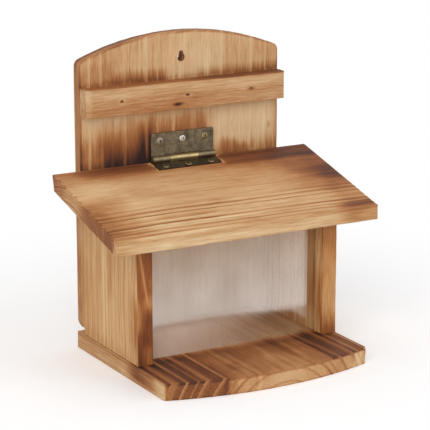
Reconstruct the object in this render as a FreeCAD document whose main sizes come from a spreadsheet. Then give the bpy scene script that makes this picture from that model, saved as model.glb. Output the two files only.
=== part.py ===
"""Squirrel feeder box: flamed fir boards, a clear front panel and a lid on a brass butt hinge.

Millimetres. +Z is up, the feeder faces -Y, and the origin is under the middle of its footprint.
"""
import FreeCAD, Part
import math
import os
import Sketcher

Vector = FreeCAD.Vector

# Driving sizes: alias, value, meaning.
SIZES = [
    ("back_width", 158, "width of the back board"),
    ("back_thickness", 10, "thickness of the back board"),
    ("back_side_height", 193.5, "back board's foot to its shoulders"),
    ("back_crown", 16, "rise of the arched top above the shoulders"),
    ("back_foot_radius", 10, "rounding of the back board's lower corners"),
    ("back_shoulder_radius", 3.5, "rounding of the back board's shoulders"),
    ("hang_hole_drop", 18.5, "top of the arch down to the hanging hole's centre"),
    ("hang_hole_radius", 3, "round part of the keyhole, which passes a screw's head"),
    ("hang_slot_radius", 1.7, "half width of the keyhole's slot, which takes the shank"),
    ("hang_slot_rise", 3.1, "hole's centre up to the centre of the slot's end"),
    ("base_thickness", 12, "thickness of the base board"),
    ("base_margin", 0.5, "base's edge outside the back board's edge"),
    ("porch_side_depth", 131, "base's rear edge to its front corners"),
    ("porch_bulge", 13, "middle of the curved front ahead of its corners"),
    ("porch_corner_radius", 2.5, "rounding of the porch's corners"),
    ("wall_thickness", 11.5, "thickness of a side wall"),
    ("wall_margin", 0.5, "wall's outer face inside the back board's edge"),
    ("wall_rear_height", 108, "height of a side wall against the back board"),
    ("wall_depth", 82.5, "back board's face to the walls' front edges"),
    ("panel_thickness", 2, "thickness of the clear panel"),
    ("panel_setback", 10.5, "walls' front edges back to the panel's front face"),
    ("panel_roof_gap", 0.9, "panel's top edge below the lid"),
    ("groove_depth", 3.5, "depth of the panel's grooves in the walls"),
    ("groove_clearance", 0.2, "room on each face of the panel in its groove"),
    ("groove_end_clearance", 0.4, "room between the panel's edge and its groove's floor"),
    ("roof_overhang", 22.75, "roof's ends beyond the back board's edges"),
    ("roof_length", 99.5, "length of the roof board's upper face down the slope"),
    ("roof_thickness", 10.7, "thickness of the roof board"),
    ("roof_slope_angle", 14.45, "slope of the roof in degrees"),
    ("roof_back_gap", 1.7, "back board's face to the roof's upper rear edge"),
    ("roof_rear_undercut", 2.6, "lower rear edge ahead of the upper rear edge"),
    ("batten_height", 20, "height of the stop batten"),
    ("batten_thickness", 9.2, "thickness of the stop batten"),
    ("batten_rise", 37.3, "roof's upper rear edge to the batten's lower edge"),
    ("arris_bevel", 0.4, "bevel along the worn edges of the brushed boards"),
    ("hinge_length", 50, "length of the butt hinge"),
    ("leaf_thickness", 1.2, "thickness of both leaves"),
    ("leaf_corner_radius", 1, "rounding of the leaves' free corners"),
    ("wall_leaf_height", 18.5, "pin's axis to the wall leaf's free edge"),
    ("roof_leaf_length", 12, "pin's axis to the roof leaf's free edge"),
    ("knuckle_radius", 2.3, "outside of the knuckles"),
    ("knuckle_standoff", 0.3, "knuckles clear of the surfaces the leaves lie on"),
    ("centre_knuckle_length", 22.8, "length of the roof leaf's knuckle"),
    ("knuckle_gap", 0.3, "gap between two knuckles"),
    ("pin_radius", 1.2, "radius of the hinge's pin"),
    ("pin_clearance", 0.05, "room round the pin in the knuckles"),
    ("pin_chamfer", 0.4, "bevel at the pin's ends"),
    ("mortise_depth", 0.7, "depth that the roof leaf is let into the roof"),
    ("mortise_end_gap", 1, "mortise beyond each end of the hinge"),
    ("mortise_front_gap", 0.4, "mortise beyond the roof leaf's free edge"),
    ("screw_spacing", 18, "distance between the hinge's screws"),
    ("wall_screw_rise", 12.7, "pin's axis up to the wall leaf's screws"),
    ("roof_screw_run", 8, "pin's axis down the slope to the roof leaf's screws"),
    ("screw_length", 9, "length of a hinge screw"),
    ("screw_radius", 1.1, "radius of a hinge screw's shank"),
    ("screw_head_radius", 2.4, "radius of a hinge screw's head"),
    ("screw_dome", 0.4, "height of a screw's raised head above its leaf"),
    ("batten_nail_length", 16, "length of a batten nail"),
    ("batten_nail_spacing", 51.5, "distance between the batten's nails"),
    ("nail_length", 30, "length of a board nail"),
    ("nail_width", 1.25, "width of a brad nail's flattened wire"),
    ("nail_thickness", 1.05, "thickness of a brad nail's flattened wire"),
    ("nail_head_width", 2, "width of a brad nail's head"),
    ("nail_head_height", 0.8, "height of a brad nail's head"),
    ("nail_point", 1.4, "length of a brad nail's chisel point"),
    ("nail_recess", 0.3, "nail heads below the board's surface"),
    ("nail_clearance", 0.02, "room round a nail or screw in its hole"),
    ("wall_nail_margin", 16, "end nails of the back joints from the wall's ends"),
    ("base_nail_front_margin", 14, "front nail of a base joint behind the wall's front edge"),
    ("base_nail_rear_gap", 6, "rear nail of a base joint clear of the back nails' points"),
    ("foot_nail_spacing", 52, "distance between the nails into the back board's foot"),
]

# Each row of fasteners holds three: one in the middle and one on each side.
ROW_COUNT = 3

doc = FreeCAD.newDocument("squirrel_feeder_box")
sheet = doc.addObject("Spreadsheet::Sheet", "Sizes")
for row, (alias, value, meaning) in enumerate(SIZES, start=1):
    sheet.set(f"A{row}", meaning)
    sheet.set(f"B{row}", str(value))
    sheet.setAlias(f"B{row}", alias)
doc.recompute()


def size(expression):
    """Value of an expression on the sheet's sizes."""
    value = sheet.evalExpression(expression)
    return float(getattr(value, "Value", value))


# Places that several pieces share, as expressions on the driving sizes.
# Y is counted from the rear plane, which all bodies' placements put at half the base's depth.
S = "Sizes."
REAR = f"(({S}porch_side_depth + {S}porch_bulge) / 2)"
BOARD_FACE = f"(-{S}back_thickness)"
WALL_FRONT = f"({BOARD_FACE} - {S}wall_depth)"
WALL_OUTER = f"({S}back_width / 2 - {S}wall_margin)"
WALL_INNER = f"({WALL_OUTER} - {S}wall_thickness)"
WALL_MIDDLE = f"({WALL_OUTER} - {S}wall_thickness / 2)"
SLOPE = f"{S}roof_slope_angle"
WALL_TOP = f"({S}base_thickness + {S}wall_rear_height)"
WALL_DROP = f"({S}wall_depth * tan({SLOPE}))"

# Roof's upper rear edge, and the pin's axis seen from it in level and in sloping axes.
ROOF_EDGE_Y = f"({BOARD_FACE} - {S}roof_back_gap)"
ROOF_EDGE_Z = f"({WALL_TOP} - {S}roof_back_gap * tan({SLOPE}) + {S}roof_thickness / cos({SLOPE}))"
STANDOFF = f"({S}knuckle_radius + {S}knuckle_standoff)"
PIN_OVER_ROOF = f"({STANDOFF} - {S}mortise_depth)"
PIN_Y = f"({BOARD_FACE} - {STANDOFF})"
PIN_RUN = f"((({STANDOFF} - {S}roof_back_gap) - {PIN_OVER_ROOF} * sin({SLOPE})) / cos({SLOPE}))"
PIN_Z = f"({ROOF_EDGE_Z} - {PIN_RUN} * sin({SLOPE}) + {PIN_OVER_ROOF} * cos({SLOPE}))"

BATTEN_FOOT = f"({ROOF_EDGE_Z} + {S}batten_rise)"
BATTEN_MIDDLE = f"({BATTEN_FOOT} + {S}batten_height / 2)"
BATTEN_FACE = f"({BOARD_FACE} - {S}batten_thickness)"
PANEL_FRONT = f"({WALL_FRONT} + {S}panel_setback)"
PANEL_REAR = f"({PANEL_FRONT} + {S}panel_thickness)"

NAIL_SINK_DEPTH = f"({S}nail_recess + {S}nail_head_height)"
NAIL_REACH = f"({S}nail_recess + {S}nail_length + {S}nail_clearance)"
SCREW_HOLE = f"({S}screw_radius + {S}nail_clearance)"
SCREW_SINK = f"({S}screw_head_radius + {S}nail_clearance)"
SCREW_DEPTH = f"({S}screw_length - {S}leaf_thickness + {S}nail_clearance)"
WALL_NAIL_LOW = f"{S}wall_nail_margin"
WALL_NAIL_SPAN = f"({S}wall_rear_height - 2 * {S}wall_nail_margin)"
BASE_NAIL_REAR = f"(-{S}nail_length - {S}nail_recess - {S}base_nail_rear_gap)"
BASE_NAIL_FRONT = f"({WALL_FRONT} + {S}base_nail_front_margin)"
BASE_NAIL_SPAN = f"({BASE_NAIL_REAR} - {BASE_NAIL_FRONT})"
FOOT_NAIL_Y = f"({BOARD_FACE} / 2)"


def plane(body, role):
    """One of a body's own origin planes or axes."""
    for feature in body.Origin.OriginFeatures:
        if feature.Role == role:
            return feature
    raise ValueError(f"{body.Label} has no {role}")


def new_body(label, x="0", y="0", z="0", turn="0"):
    """A sub-part's body: x, y from the rear plane, z, and a turn about X, all expressions."""
    body = doc.addObject("PartDesign::Body", label)
    body.Label = label
    place = f"vector({x}; {REAR} + {y}; {z})"
    body.setExpression("Placement", f"placement({place}; rotation(vector(1; 0; 0); {turn}))")
    return body


def new_sketch(body, name, role, height=None):
    """A sketch on one of the body's planes, lifted along the plane's normal by an expression."""
    sketch = body.newObject("Sketcher::SketchObject", name)
    sketch.AttachmentSupport = [(plane(body, role), "")]
    sketch.MapMode = "FlatFace"
    if height is not None:
        sketch.setExpression("AttachmentOffset.Base.z", height)
    return sketch


def pin_point(sketch, geometry, end, along, up):
    """Ties a point of the sketch to expressions for its two coordinates."""
    for kind, axis, expression in (("DistanceX", -2, along), ("DistanceY", -1, up)):
        value = size(expression)
        if abs(value) < 1e-9:
            sketch.addConstraint(Sketcher.Constraint("PointOnObject", geometry, end, axis))
            continue
        index = sketch.addConstraint(Sketcher.Constraint(kind, -1, 1, geometry, end, value))
        sketch.setExpression(f"Constraints[{index}]", expression)


def draw_outline(sketch, corners, arcs=None):
    """Closed outline through corners, anticlockwise. arcs maps a side's number to its radius."""
    arcs = arcs or {}
    places = [Vector(size(along), size(up), 0) for along, up in corners]
    first = sketch.GeometryCount
    count = len(corners)
    for number, start in enumerate(places):
        end = places[(number + 1) % count]
        if number in arcs:
            radius = size(arcs[number])
            half = (end - start).Length / 2
            inward = Vector(-(end - start).y, (end - start).x, 0).normalize()
            centre = (start + end) / 2 + inward * math.sqrt(radius**2 - half**2)
            from_centre, to_centre = start - centre, end - centre
            begin = math.atan2(from_centre.y, from_centre.x)
            finish = math.atan2(to_centre.y, to_centre.x)
            circle = Part.Circle(centre, Vector(0, 0, 1), radius)
            sketch.addGeometry(Part.ArcOfCircle(circle, begin, finish))
        else:
            sketch.addGeometry(Part.LineSegment(start, end))
    for number in range(count):
        following = first + (number + 1) % count
        sketch.addConstraint(Sketcher.Constraint("Coincident", first + number, 2, following, 1))
    for number, (along, up) in enumerate(corners):
        pin_point(sketch, first + number, 1, along, up)
    for number, radius in arcs.items():
        index = sketch.addConstraint(Sketcher.Constraint("Radius", first + number, size(radius)))
        sketch.setExpression(f"Constraints[{index}]", radius)


def draw_rectangle(sketch, left, right, low, high):
    """Rectangle between four expressions."""
    draw_outline(sketch, [(left, low), (right, low), (right, high), (left, high)])


def draw_circle(sketch, radius, along="0", up="0"):
    """Circle of a radius about a point."""
    centre = Vector(size(along), size(up), 0)
    index = sketch.addGeometry(Part.Circle(centre, Vector(0, 0, 1), size(radius)))
    pin_point(sketch, index, 3, along, up)
    constraint = sketch.addConstraint(Sketcher.Constraint("Radius", index, size(radius)))
    sketch.setExpression(f"Constraints[{constraint}]", radius)


def pad(body, name, sketch, length, both_ways=False, backwards=False):
    """Adds the sketch's area times a length."""
    feature = body.newObject("PartDesign::Pad", name)
    feature.Profile = sketch
    if both_ways:
        feature.SideType = "Symmetric"
    feature.Reversed = backwards
    feature.setExpression("Length", length)
    doc.recompute()
    return feature


def pocket(body, name, sketch, depth=None, both_ways=False, backwards=False):
    """Cuts the sketch's area to a depth, or through everything."""
    before = body.Shape.Volume
    feature = body.newObject("PartDesign::Pocket", name)
    feature.Profile = sketch
    if both_ways:
        feature.SideType = "Symmetric"
    feature.Reversed = backwards
    if depth is None:
        feature.Type = "ThroughAll"
    else:
        feature.setExpression("Length", depth)
    doc.recompute()
    if not body.Shape.Volume < before - 1e-6:
        raise RuntimeError(f"{body.Label}: {name} cut nothing")
    return feature


def dress(body, name, kind, wanted):
    """Adds a fillet or chamfer to the edges of the body's last feature that pass a test."""
    base = body.Tip
    names = []
    for number, edge in enumerate(base.Shape.Edges, start=1):
        if wanted(edge):
            names.append(f"Edge{number}")
    if not names:
        raise RuntimeError(f"{body.Label}: {name} found no edge")
    feature = body.newObject(kind, name)
    feature.Base = (base, names)
    return feature


def soften(body, name, radius, wanted):
    """Rounds the edges that pass a test."""
    dress(body, name, "PartDesign::Fillet", wanted).setExpression("Radius", radius)
    doc.recompute()


def bevel(body, name, leg, wanted):
    """Bevels the edges that pass a test."""
    dress(body, name, "PartDesign::Chamfer", wanted).setExpression("Size", leg)
    doc.recompute()


def straight_along(edge, axis):
    """Whether an edge is a straight line along one of the body's own axes."""
    if len(edge.Vertexes) != 2 or edge.Curve.TypeId != "Part::GeomLine":
        return False
    span = edge.Vertexes[1].Point - edge.Vertexes[0].Point
    return abs(abs(span.dot(axis)) - span.Length) < 1e-6


def lies_at(edge, normal, distance):
    """Whether all of an edge's ends lie in a plane."""
    return all(abs(corner.Point.dot(normal) - distance) < 1e-6 for corner in edge.Vertexes)


def row_places(start, step):
    """Expressions for the places of one row of fasteners."""
    return [f"({start} + {number} * {step})" for number in range(ROW_COUNT)]


def middle_row(step):
    """Expressions for a row centred on zero."""
    return [f"({number - (ROW_COUNT - 1) / 2} * {step})" for number in range(ROW_COUNT)]


def drill(body, name, role, places, radius, height=None, depth=None, backwards=False):
    """A row of round holes: places are pairs of expressions on the plane."""
    sketch = new_sketch(body, f"{name}_sketch", role, height)
    for along, up in places:
        draw_circle(sketch, radius, along, up)
    return pocket(body, name, sketch, depth, backwards=backwards)


def cut_slots(body, name, role, places, width, height=None, depth=None, backwards=False):
    """A row of slots for flattened nails, wide along X: places are pairs of expressions."""
    sketch = new_sketch(body, f"{name}_sketch", role, height)
    half_width = f"({width} / 2 + {S}nail_clearance)"
    half_thickness = f"({S}nail_thickness / 2 + {S}nail_clearance)"
    for along, up in places:
        draw_rectangle(sketch, f"({along} - {half_width})", f"({along} + {half_width})",
                       f"({up} - {half_thickness})", f"({up} + {half_thickness})")
    return pocket(body, name, sketch, depth, backwards=backwards)


def make_back_board():
    """Tall board with an arched top, rounded corners and a keyhole, grain upright."""
    body = new_body("back_board", z=f"{S}base_thickness")
    half = f"({S}back_width / 2)"
    radius = f"(({half} ^ 2 + {S}back_crown ^ 2) / (2 * {S}back_crown))"
    corners = [
        (f"(-{half})", "0"),
        (half, "0"),
        (half, f"{S}back_side_height"),
        (f"(-{half})", f"{S}back_side_height"),
    ]
    sketch = new_sketch(body, "back_outline", "XZ_Plane")
    draw_outline(sketch, corners, {2: radius})
    pad(body, "back_pad", sketch, f"{S}back_thickness")
    across = Vector(0, 1, 0)
    split = size(f"{S}back_side_height / 2")
    soften(body, "back_foot_corners", f"{S}back_foot_radius",
           lambda edge: straight_along(edge, across) and edge.Vertexes[0].Z < split)
    soften(body, "back_shoulders", f"{S}back_shoulder_radius",
           lambda edge: straight_along(edge, across) and edge.Vertexes[0].Z > split)
    faces = (0, size(f"-{S}back_thickness"))
    upright = Vector(0, 0, 1)
    bevel(body, "back_arrises", f"{S}arris_bevel",
          lambda edge: any(lies_at(edge, across, face) for face in faces)
          and not lies_at(edge, upright, 0))

    hole_height = f"({S}back_side_height + {S}back_crown - {S}hang_hole_drop)"
    slot_height = f"({hole_height} + {S}hang_slot_rise)"
    drill(body, "hang_hole", "XZ_Plane", [("0", hole_height)], f"{S}hang_hole_radius",
          backwards=True)
    slot = new_sketch(body, "hang_slot_sketch", "XZ_Plane")
    draw_rectangle(slot, f"(-{S}hang_slot_radius)", f"{S}hang_slot_radius", hole_height, slot_height)
    pocket(body, "hang_slot", slot, backwards=True)
    drill(body, "hang_slot_end", "XZ_Plane", [("0", slot_height)], f"{S}hang_slot_radius",
          backwards=True)

    heights = row_places(WALL_NAIL_LOW, f"{WALL_NAIL_SPAN} / {ROW_COUNT - 1}")
    wall_nails = [(f"({side} * {WALL_MIDDLE})", up) for side in (-1, 1) for up in heights]
    cut_slots(body, "wall_nail_slots", "XZ_Plane", wall_nails, f"{S}nail_width", backwards=True)
    cut_slots(body, "wall_nail_sinks", "XZ_Plane", wall_nails, f"{S}nail_head_width",
              depth=NAIL_SINK_DEPTH, backwards=True)

    face = f"{S}back_thickness"
    batten_nails = [(along, f"({BATTEN_MIDDLE} - {S}base_thickness)")
                    for along in middle_row(f"{S}batten_nail_spacing")]
    reach = f"({S}nail_recess + {S}batten_nail_length + {S}nail_clearance - {S}batten_thickness)"
    cut_slots(body, "batten_nail_slots", "XZ_Plane", batten_nails, f"{S}nail_width", face, reach)
    screws = [(along, f"({PIN_Z} + {S}wall_screw_rise - {S}base_thickness)")
              for along in middle_row(f"{S}screw_spacing")]
    drill(body, "leaf_screw_holes", "XZ_Plane", screws, SCREW_HOLE, face, SCREW_DEPTH)

    foot_nails = [(along, FOOT_NAIL_Y) for along in middle_row(f"{S}foot_nail_spacing")]
    cut_slots(body, "foot_nail_slots", "XY_Plane", foot_nails, f"{S}nail_width",
              depth=f"({NAIL_REACH} - {S}base_thickness)", backwards=True)


def make_base_board():
    """Floor of the box, with a convex front that sticks out as a porch."""
    body = new_body("base_board")
    half = f"({S}back_width / 2 + {S}base_margin)"
    radius = f"(({half} ^ 2 + {S}porch_bulge ^ 2) / (2 * {S}porch_bulge))"
    corners = [
        (f"(-{half})", f"(-{S}porch_side_depth)"),
        (half, f"(-{S}porch_side_depth)"),
        (half, "0"),
        (f"(-{half})", "0"),
    ]
    sketch = new_sketch(body, "base_outline", "XY_Plane")
    draw_outline(sketch, corners, {0: radius})
    pad(body, "base_pad", sketch, f"{S}base_thickness")
    front = size(f"-{S}porch_side_depth / 2")
    upright = Vector(0, 0, 1)
    soften(body, "porch_corners", f"{S}porch_corner_radius",
           lambda edge: straight_along(edge, upright) and edge.Vertexes[0].Y < front)
    rearward = Vector(0, 1, 0)
    top = size(f"{S}base_thickness")
    bevel(body, "base_arrises", f"{S}arris_bevel",
          lambda edge: lies_at(edge, upright, top) and not lies_at(edge, rearward, 0))

    depths = row_places(BASE_NAIL_FRONT, f"{BASE_NAIL_SPAN} / {ROW_COUNT - 1}")
    nails = [(f"({side} * {WALL_MIDDLE})", y) for side in (-1, 1) for y in depths]
    nails += [(along, FOOT_NAIL_Y) for along in middle_row(f"{S}foot_nail_spacing")]
    cut_slots(body, "base_nail_slots", "XY_Plane", nails, f"{S}nail_width", backwards=True)
    cut_slots(body, "base_nail_sinks", "XY_Plane", nails, f"{S}nail_head_width",
              depth=NAIL_SINK_DEPTH, backwards=True)


def make_side_wall(label, side):
    """Side wall with a sloping top and a groove for the panel; side is -1 left, 1 right."""
    body = new_body(label, z=f"{S}base_thickness")
    corners = [
        (WALL_FRONT, "0"),
        (BOARD_FACE, "0"),
        (BOARD_FACE, f"{S}wall_rear_height"),
        (WALL_FRONT, f"({S}wall_rear_height - {WALL_DROP})"),
    ]
    outer = f"({side} * {WALL_OUTER})"
    inner = f"({side} * {WALL_INNER})"
    profile = new_sketch(body, f"{label}_profile", "YZ_Plane", outer)
    draw_outline(profile, corners)
    pad(body, f"{label}_pad", profile, f"{S}wall_thickness", backwards=side > 0)
    forward = Vector(0, -1, 0)
    front = size(f"-{WALL_FRONT}")
    bevel(body, f"{label}_front_arrises", f"{S}arris_bevel",
          lambda edge: straight_along(edge, Vector(0, 0, 1)) and lies_at(edge, forward, front))

    groove = new_sketch(body, f"{label}_groove_sketch", "YZ_Plane", inner)
    near = f"({PANEL_FRONT} - {S}groove_clearance)"
    far = f"({PANEL_REAR} + {S}groove_clearance)"
    draw_rectangle(groove, near, far, "0", f"{S}wall_rear_height")
    pocket(body, f"{label}_groove", groove, f"{S}groove_depth", backwards=side > 0)

    heights = row_places(WALL_NAIL_LOW, f"{WALL_NAIL_SPAN} / {ROW_COUNT - 1}")
    back_nails = [(f"({side} * {WALL_MIDDLE})", up) for up in heights]
    cut_slots(body, f"{label}_back_nail_slots", "XZ_Plane", back_nails, f"{S}nail_width",
              f"{S}back_thickness", f"({NAIL_REACH} - {S}back_thickness)", backwards=True)
    depths = row_places(BASE_NAIL_FRONT, f"{BASE_NAIL_SPAN} / {ROW_COUNT - 1}")
    base_nails = [(f"({side} * {WALL_MIDDLE})", y) for y in depths]
    cut_slots(body, f"{label}_base_nail_slots", "XY_Plane", base_nails, f"{S}nail_width",
              depth=f"({NAIL_REACH} - {S}base_thickness)", backwards=True)


def make_front_panel():
    """Clear sheet that stands on the base in the walls' grooves."""
    body = new_body("front_panel", z=f"{S}base_thickness")
    half = f"({WALL_INNER} + {S}groove_depth - {S}groove_end_clearance)"
    drop = f"((-{PANEL_FRONT} + {BOARD_FACE}) * tan({SLOPE}))"
    top = f"({S}wall_rear_height - {drop} - {S}panel_roof_gap)"
    sketch = new_sketch(body, "panel_outline", "XZ_Plane", f"(-{PANEL_REAR})")
    draw_rectangle(sketch, f"(-{half})", half, "0", top)
    pad(body, "panel_pad", sketch, f"{S}panel_thickness")


def make_roof_board():
    """Sloping lid, plumb at the front and undercut at the rear, let in for the hinge's leaf."""
    body = new_body("roof_board", y=ROOF_EDGE_Y, z=ROOF_EDGE_Z, turn=SLOPE)
    under = f"(-{S}roof_thickness)"
    lean = f"({S}roof_thickness * tan({SLOPE}))"
    corners = [
        ("0", "0"),
        (f"(-{S}roof_length)", "0"),
        (f"(-{S}roof_length - {lean})", under),
        (f"(-{S}roof_rear_undercut / cos({SLOPE}) - {lean})", under),
    ]
    profile = new_sketch(body, "roof_profile", "YZ_Plane")
    draw_outline(profile, corners)
    pad(body, "roof_pad", profile, f"({S}back_width + 2 * {S}roof_overhang)", both_ways=True)
    upward = Vector(0, 0, 1)
    rear_half = size(f"-{S}roof_length / 2")
    bevel(body, "roof_arrises", f"{S}arris_bevel",
          lambda edge: not straight_along(edge, Vector(1, 0, 0)) and lies_at(edge, upward, 0)
          or straight_along(edge, Vector(1, 0, 0)) and edge.Vertexes[0].Y < rear_half)

    mortise = new_sketch(body, "mortise_sketch", "XY_Plane")
    half = f"({S}hinge_length / 2 + {S}mortise_end_gap)"
    front = f"(-{PIN_RUN} - {S}roof_leaf_length - {S}mortise_front_gap)"
    draw_rectangle(mortise, f"(-{half})", half, front, f"{S}roof_back_gap")
    pocket(body, "mortise", mortise, f"{S}mortise_depth")
    screws = [(along, f"(-{PIN_RUN} - {S}roof_screw_run)")
              for along in middle_row(f"{S}screw_spacing")]
    drill(body, "roof_screw_holes", "XY_Plane", screws, SCREW_HOLE,
          depth=f"({SCREW_DEPTH} + {S}mortise_depth)")


def make_stop_batten():
    """Strip across the back board that stops the opened lid."""
    body = new_body("stop_batten", z=BATTEN_FOOT)
    sketch = new_sketch(body, "batten_profile", "YZ_Plane")
    draw_rectangle(sketch, BATTEN_FACE, BOARD_FACE, "0", f"{S}batten_height")
    pad(body, "batten_pad", sketch, f"{S}back_width", both_ways=True)
    front = size(f"{BATTEN_FACE} + {S}batten_thickness / 2")
    length = Vector(1, 0, 0)
    bevel(body, "batten_arrises", f"{S}arris_bevel",
          lambda edge: straight_along(edge, length) and edge.Vertexes[0].Y < front)
    nails = [(along, f"({S}batten_height / 2)") for along in middle_row(f"{S}batten_nail_spacing")]
    face = f"(-{BATTEN_FACE})"
    cut_slots(body, "batten_nail_slots", "XZ_Plane", nails, f"{S}nail_width", face)
    cut_slots(body, "batten_nail_sinks", "XZ_Plane", nails, f"{S}nail_head_width", face,
              NAIL_SINK_DEPTH)


def make_hinge_leaf(label, turn, standing, reach, screw_place):
    """Pressed leaf with rolled knuckles; its own axes have the pin along X.

    The standing leaf rises along Z, its mounting face towards +Y, and has the two outer knuckles.
    The lying leaf runs along -Y, its mounting face down, and has the centre knuckle.
    """
    body = new_body(label, y=PIN_Y, z=PIN_Z, turn=turn)
    inner = f"({STANDOFF} - {S}leaf_thickness)"
    half = f"({S}hinge_length / 2)"
    centre = f"({S}centre_knuckle_length / 2)"
    slot = f"({S}knuckle_radius + {S}knuckle_gap)"
    section = [
        (inner, "0"),
        (f"{S}knuckle_radius", "0"),
        (STANDOFF, f"({S}knuckle_radius / 2)"),
        (STANDOFF, reach),
        (inner, reach),
    ]
    if not standing:
        section = [(f"(-{up})", f"(-{across})") for across, up in reversed(section)]
    profile = new_sketch(body, f"{label}_section", "YZ_Plane")
    draw_outline(profile, section)
    pad(body, f"{label}_plate", profile, f"{S}hinge_length", both_ways=True)

    ring = new_sketch(body, f"{label}_barrel_sketch", "YZ_Plane")
    draw_circle(ring, f"{S}knuckle_radius")
    if standing:
        pad(body, f"{label}_barrel", ring, f"{S}hinge_length", both_ways=True)
        gap = f"({centre} + {S}knuckle_gap)"
        notch = new_sketch(body, f"{label}_notch_sketch", "XZ_Plane")
        draw_rectangle(notch, f"(-{gap})", gap, f"(-{slot})", slot)
        pocket(body, f"{label}_notch", notch, both_ways=True)
    else:
        notches = new_sketch(body, f"{label}_notch_sketch", "XY_Plane")
        draw_rectangle(notches, f"(-{half})", f"(-{centre})", f"(-{slot})", slot)
        draw_rectangle(notches, centre, half, f"(-{slot})", slot)
        pocket(body, f"{label}_notches", notches, both_ways=True)
        pad(body, f"{label}_barrel", ring, f"{S}centre_knuckle_length", both_ways=True)
    bore = new_sketch(body, f"{label}_bore_sketch", "YZ_Plane")
    draw_circle(bore, f"({S}pin_radius + {S}pin_clearance)")
    pocket(body, f"{label}_bore", bore, both_ways=True)

    lying_on = "XZ_Plane" if standing else "XY_Plane"
    for number, along in enumerate(middle_row(f"{S}screw_spacing"), start=1):
        sink = body.newObject("PartDesign::SubtractiveCone", f"{label}_sink_{number}")
        sink.AttachmentSupport = [(plane(body, lying_on), "")]
        sink.MapMode = "FlatFace"
        sink.setExpression("AttachmentOffset.Base.x", along)
        sink.setExpression("AttachmentOffset.Base.y", screw_place)
        sink.setExpression("AttachmentOffset.Base.z", f"(-{STANDOFF})")
        sink.setExpression("Radius1", SCREW_HOLE)
        sink.setExpression("Radius2", SCREW_SINK)
        sink.setExpression("Height", f"{S}leaf_thickness")
        doc.recompute()
    through = Vector(0, 1, 0) if standing else Vector(0, 0, 1)
    outward = Vector(0, 0, 1) if standing else Vector(0, -1, 0)
    tip = size(reach)
    soften(body, f"{label}_corners", f"{S}leaf_corner_radius",
           lambda edge: straight_along(edge, through)
           and abs(edge.Vertexes[0].Point.dot(outward) - tip) < 1e-6)


def make_hinge_pin():
    """Pin through the three knuckles, bevelled at its ends."""
    body = new_body("hinge_pin", y=PIN_Y, z=PIN_Z)
    ring = new_sketch(body, "pin_sketch", "YZ_Plane")
    draw_circle(ring, f"{S}pin_radius")
    pad(body, "pin_shaft", ring, f"{S}hinge_length", both_ways=True)
    bevel(body, "pin_bevel", f"{S}pin_chamfer",
          lambda edge: edge.Curve.TypeId == "Part::GeomCircle")


def repeat(body, first, direction, step):
    """Repeats a body's first feature along one of its own axes, side by side."""
    row = body.newObject("PartDesign::LinearPattern", f"{body.Label}_row")
    row.Originals = [first]
    row.Direction = (plane(body, direction), [""])
    row.Occurrences = ROW_COUNT
    row.setExpression("Length", f"{step} * {ROW_COUNT - 1}")
    body.Tip = row
    doc.recompute()


def make_screw_row(label, placing):
    """Row of countersunk screws with raised heads, driven along the body's -Z."""
    body = new_body(label, *placing)
    half_section = [
        ("0", f"(-{S}screw_length)"),
        (f"{S}screw_radius", f"(-{S}screw_length + 2 * {S}screw_radius)"),
        (f"{S}screw_radius", f"(-{S}leaf_thickness)"),
        (f"{S}screw_head_radius", "0"),
        (f"({S}screw_head_radius / 2)", f"{S}screw_dome"),
        ("0", f"{S}screw_dome"),
    ]
    sketch = new_sketch(body, f"{label}_profile", "XZ_Plane")
    draw_outline(sketch, half_section)
    turned = body.newObject("PartDesign::Revolution", f"{label}_first")
    turned.Profile = sketch
    turned.ReferenceAxis = (sketch, ["V_Axis"])
    turned.Angle = 360
    doc.recompute()
    repeat(body, turned, "X_Axis", f"{S}screw_spacing")


def make_nail_row(label, placing, direction, step, length):
    """Row of brad nails driven along the body's -Z, with a T head and a chisel point."""
    body = new_body(label, *placing)
    shank = f"({S}nail_width / 2)"
    head = f"({S}nail_head_width / 2)"
    under_head = f"(-{S}nail_head_height)"
    shoulder = f"({S}nail_point - {length})"
    outline = [
        ("0", f"(-{length})"),
        (shank, shoulder),
        (shank, under_head),
        (head, under_head),
        (head, "0"),
        (f"(-{head})", "0"),
        (f"(-{head})", under_head),
        (f"(-{shank})", under_head),
        (f"(-{shank})", shoulder),
    ]
    sketch = new_sketch(body, f"{label}_outline", "XZ_Plane")
    draw_outline(sketch, outline)
    nail = pad(body, f"{label}_first", sketch, f"{S}nail_thickness", both_ways=True)
    repeat(body, nail, direction, step)


def make_hinge_screws():
    """Three countersunk screws in each leaf."""
    first = f"(-(({ROW_COUNT} - 1) / 2) * {S}screw_spacing)"
    rise = f"({PIN_Z} + {S}wall_screw_rise)"
    make_screw_row("wall_leaf_screws", (first, f"({BOARD_FACE} - {S}leaf_thickness)", rise, "90"))
    inner = f"({STANDOFF} - {S}leaf_thickness)"
    y = f"({PIN_Y} - {S}roof_screw_run * cos({SLOPE}) + {inner} * sin({SLOPE}))"
    z = f"({PIN_Z} - {S}roof_screw_run * sin({SLOPE}) - {inner} * cos({SLOPE}))"
    make_screw_row("roof_leaf_screws", (first, y, z, SLOPE))


def make_batten_nails():
    """Three short nails that hold the batten to the back board."""
    first = f"(-(({ROW_COUNT} - 1) / 2) * {S}batten_nail_spacing)"
    make_nail_row("batten_nails",
                  (first, f"({BATTEN_FACE} + {S}nail_recess)", BATTEN_MIDDLE, "90"),
                  "X_Axis", f"{S}batten_nail_spacing", f"{S}batten_nail_length")


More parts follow.
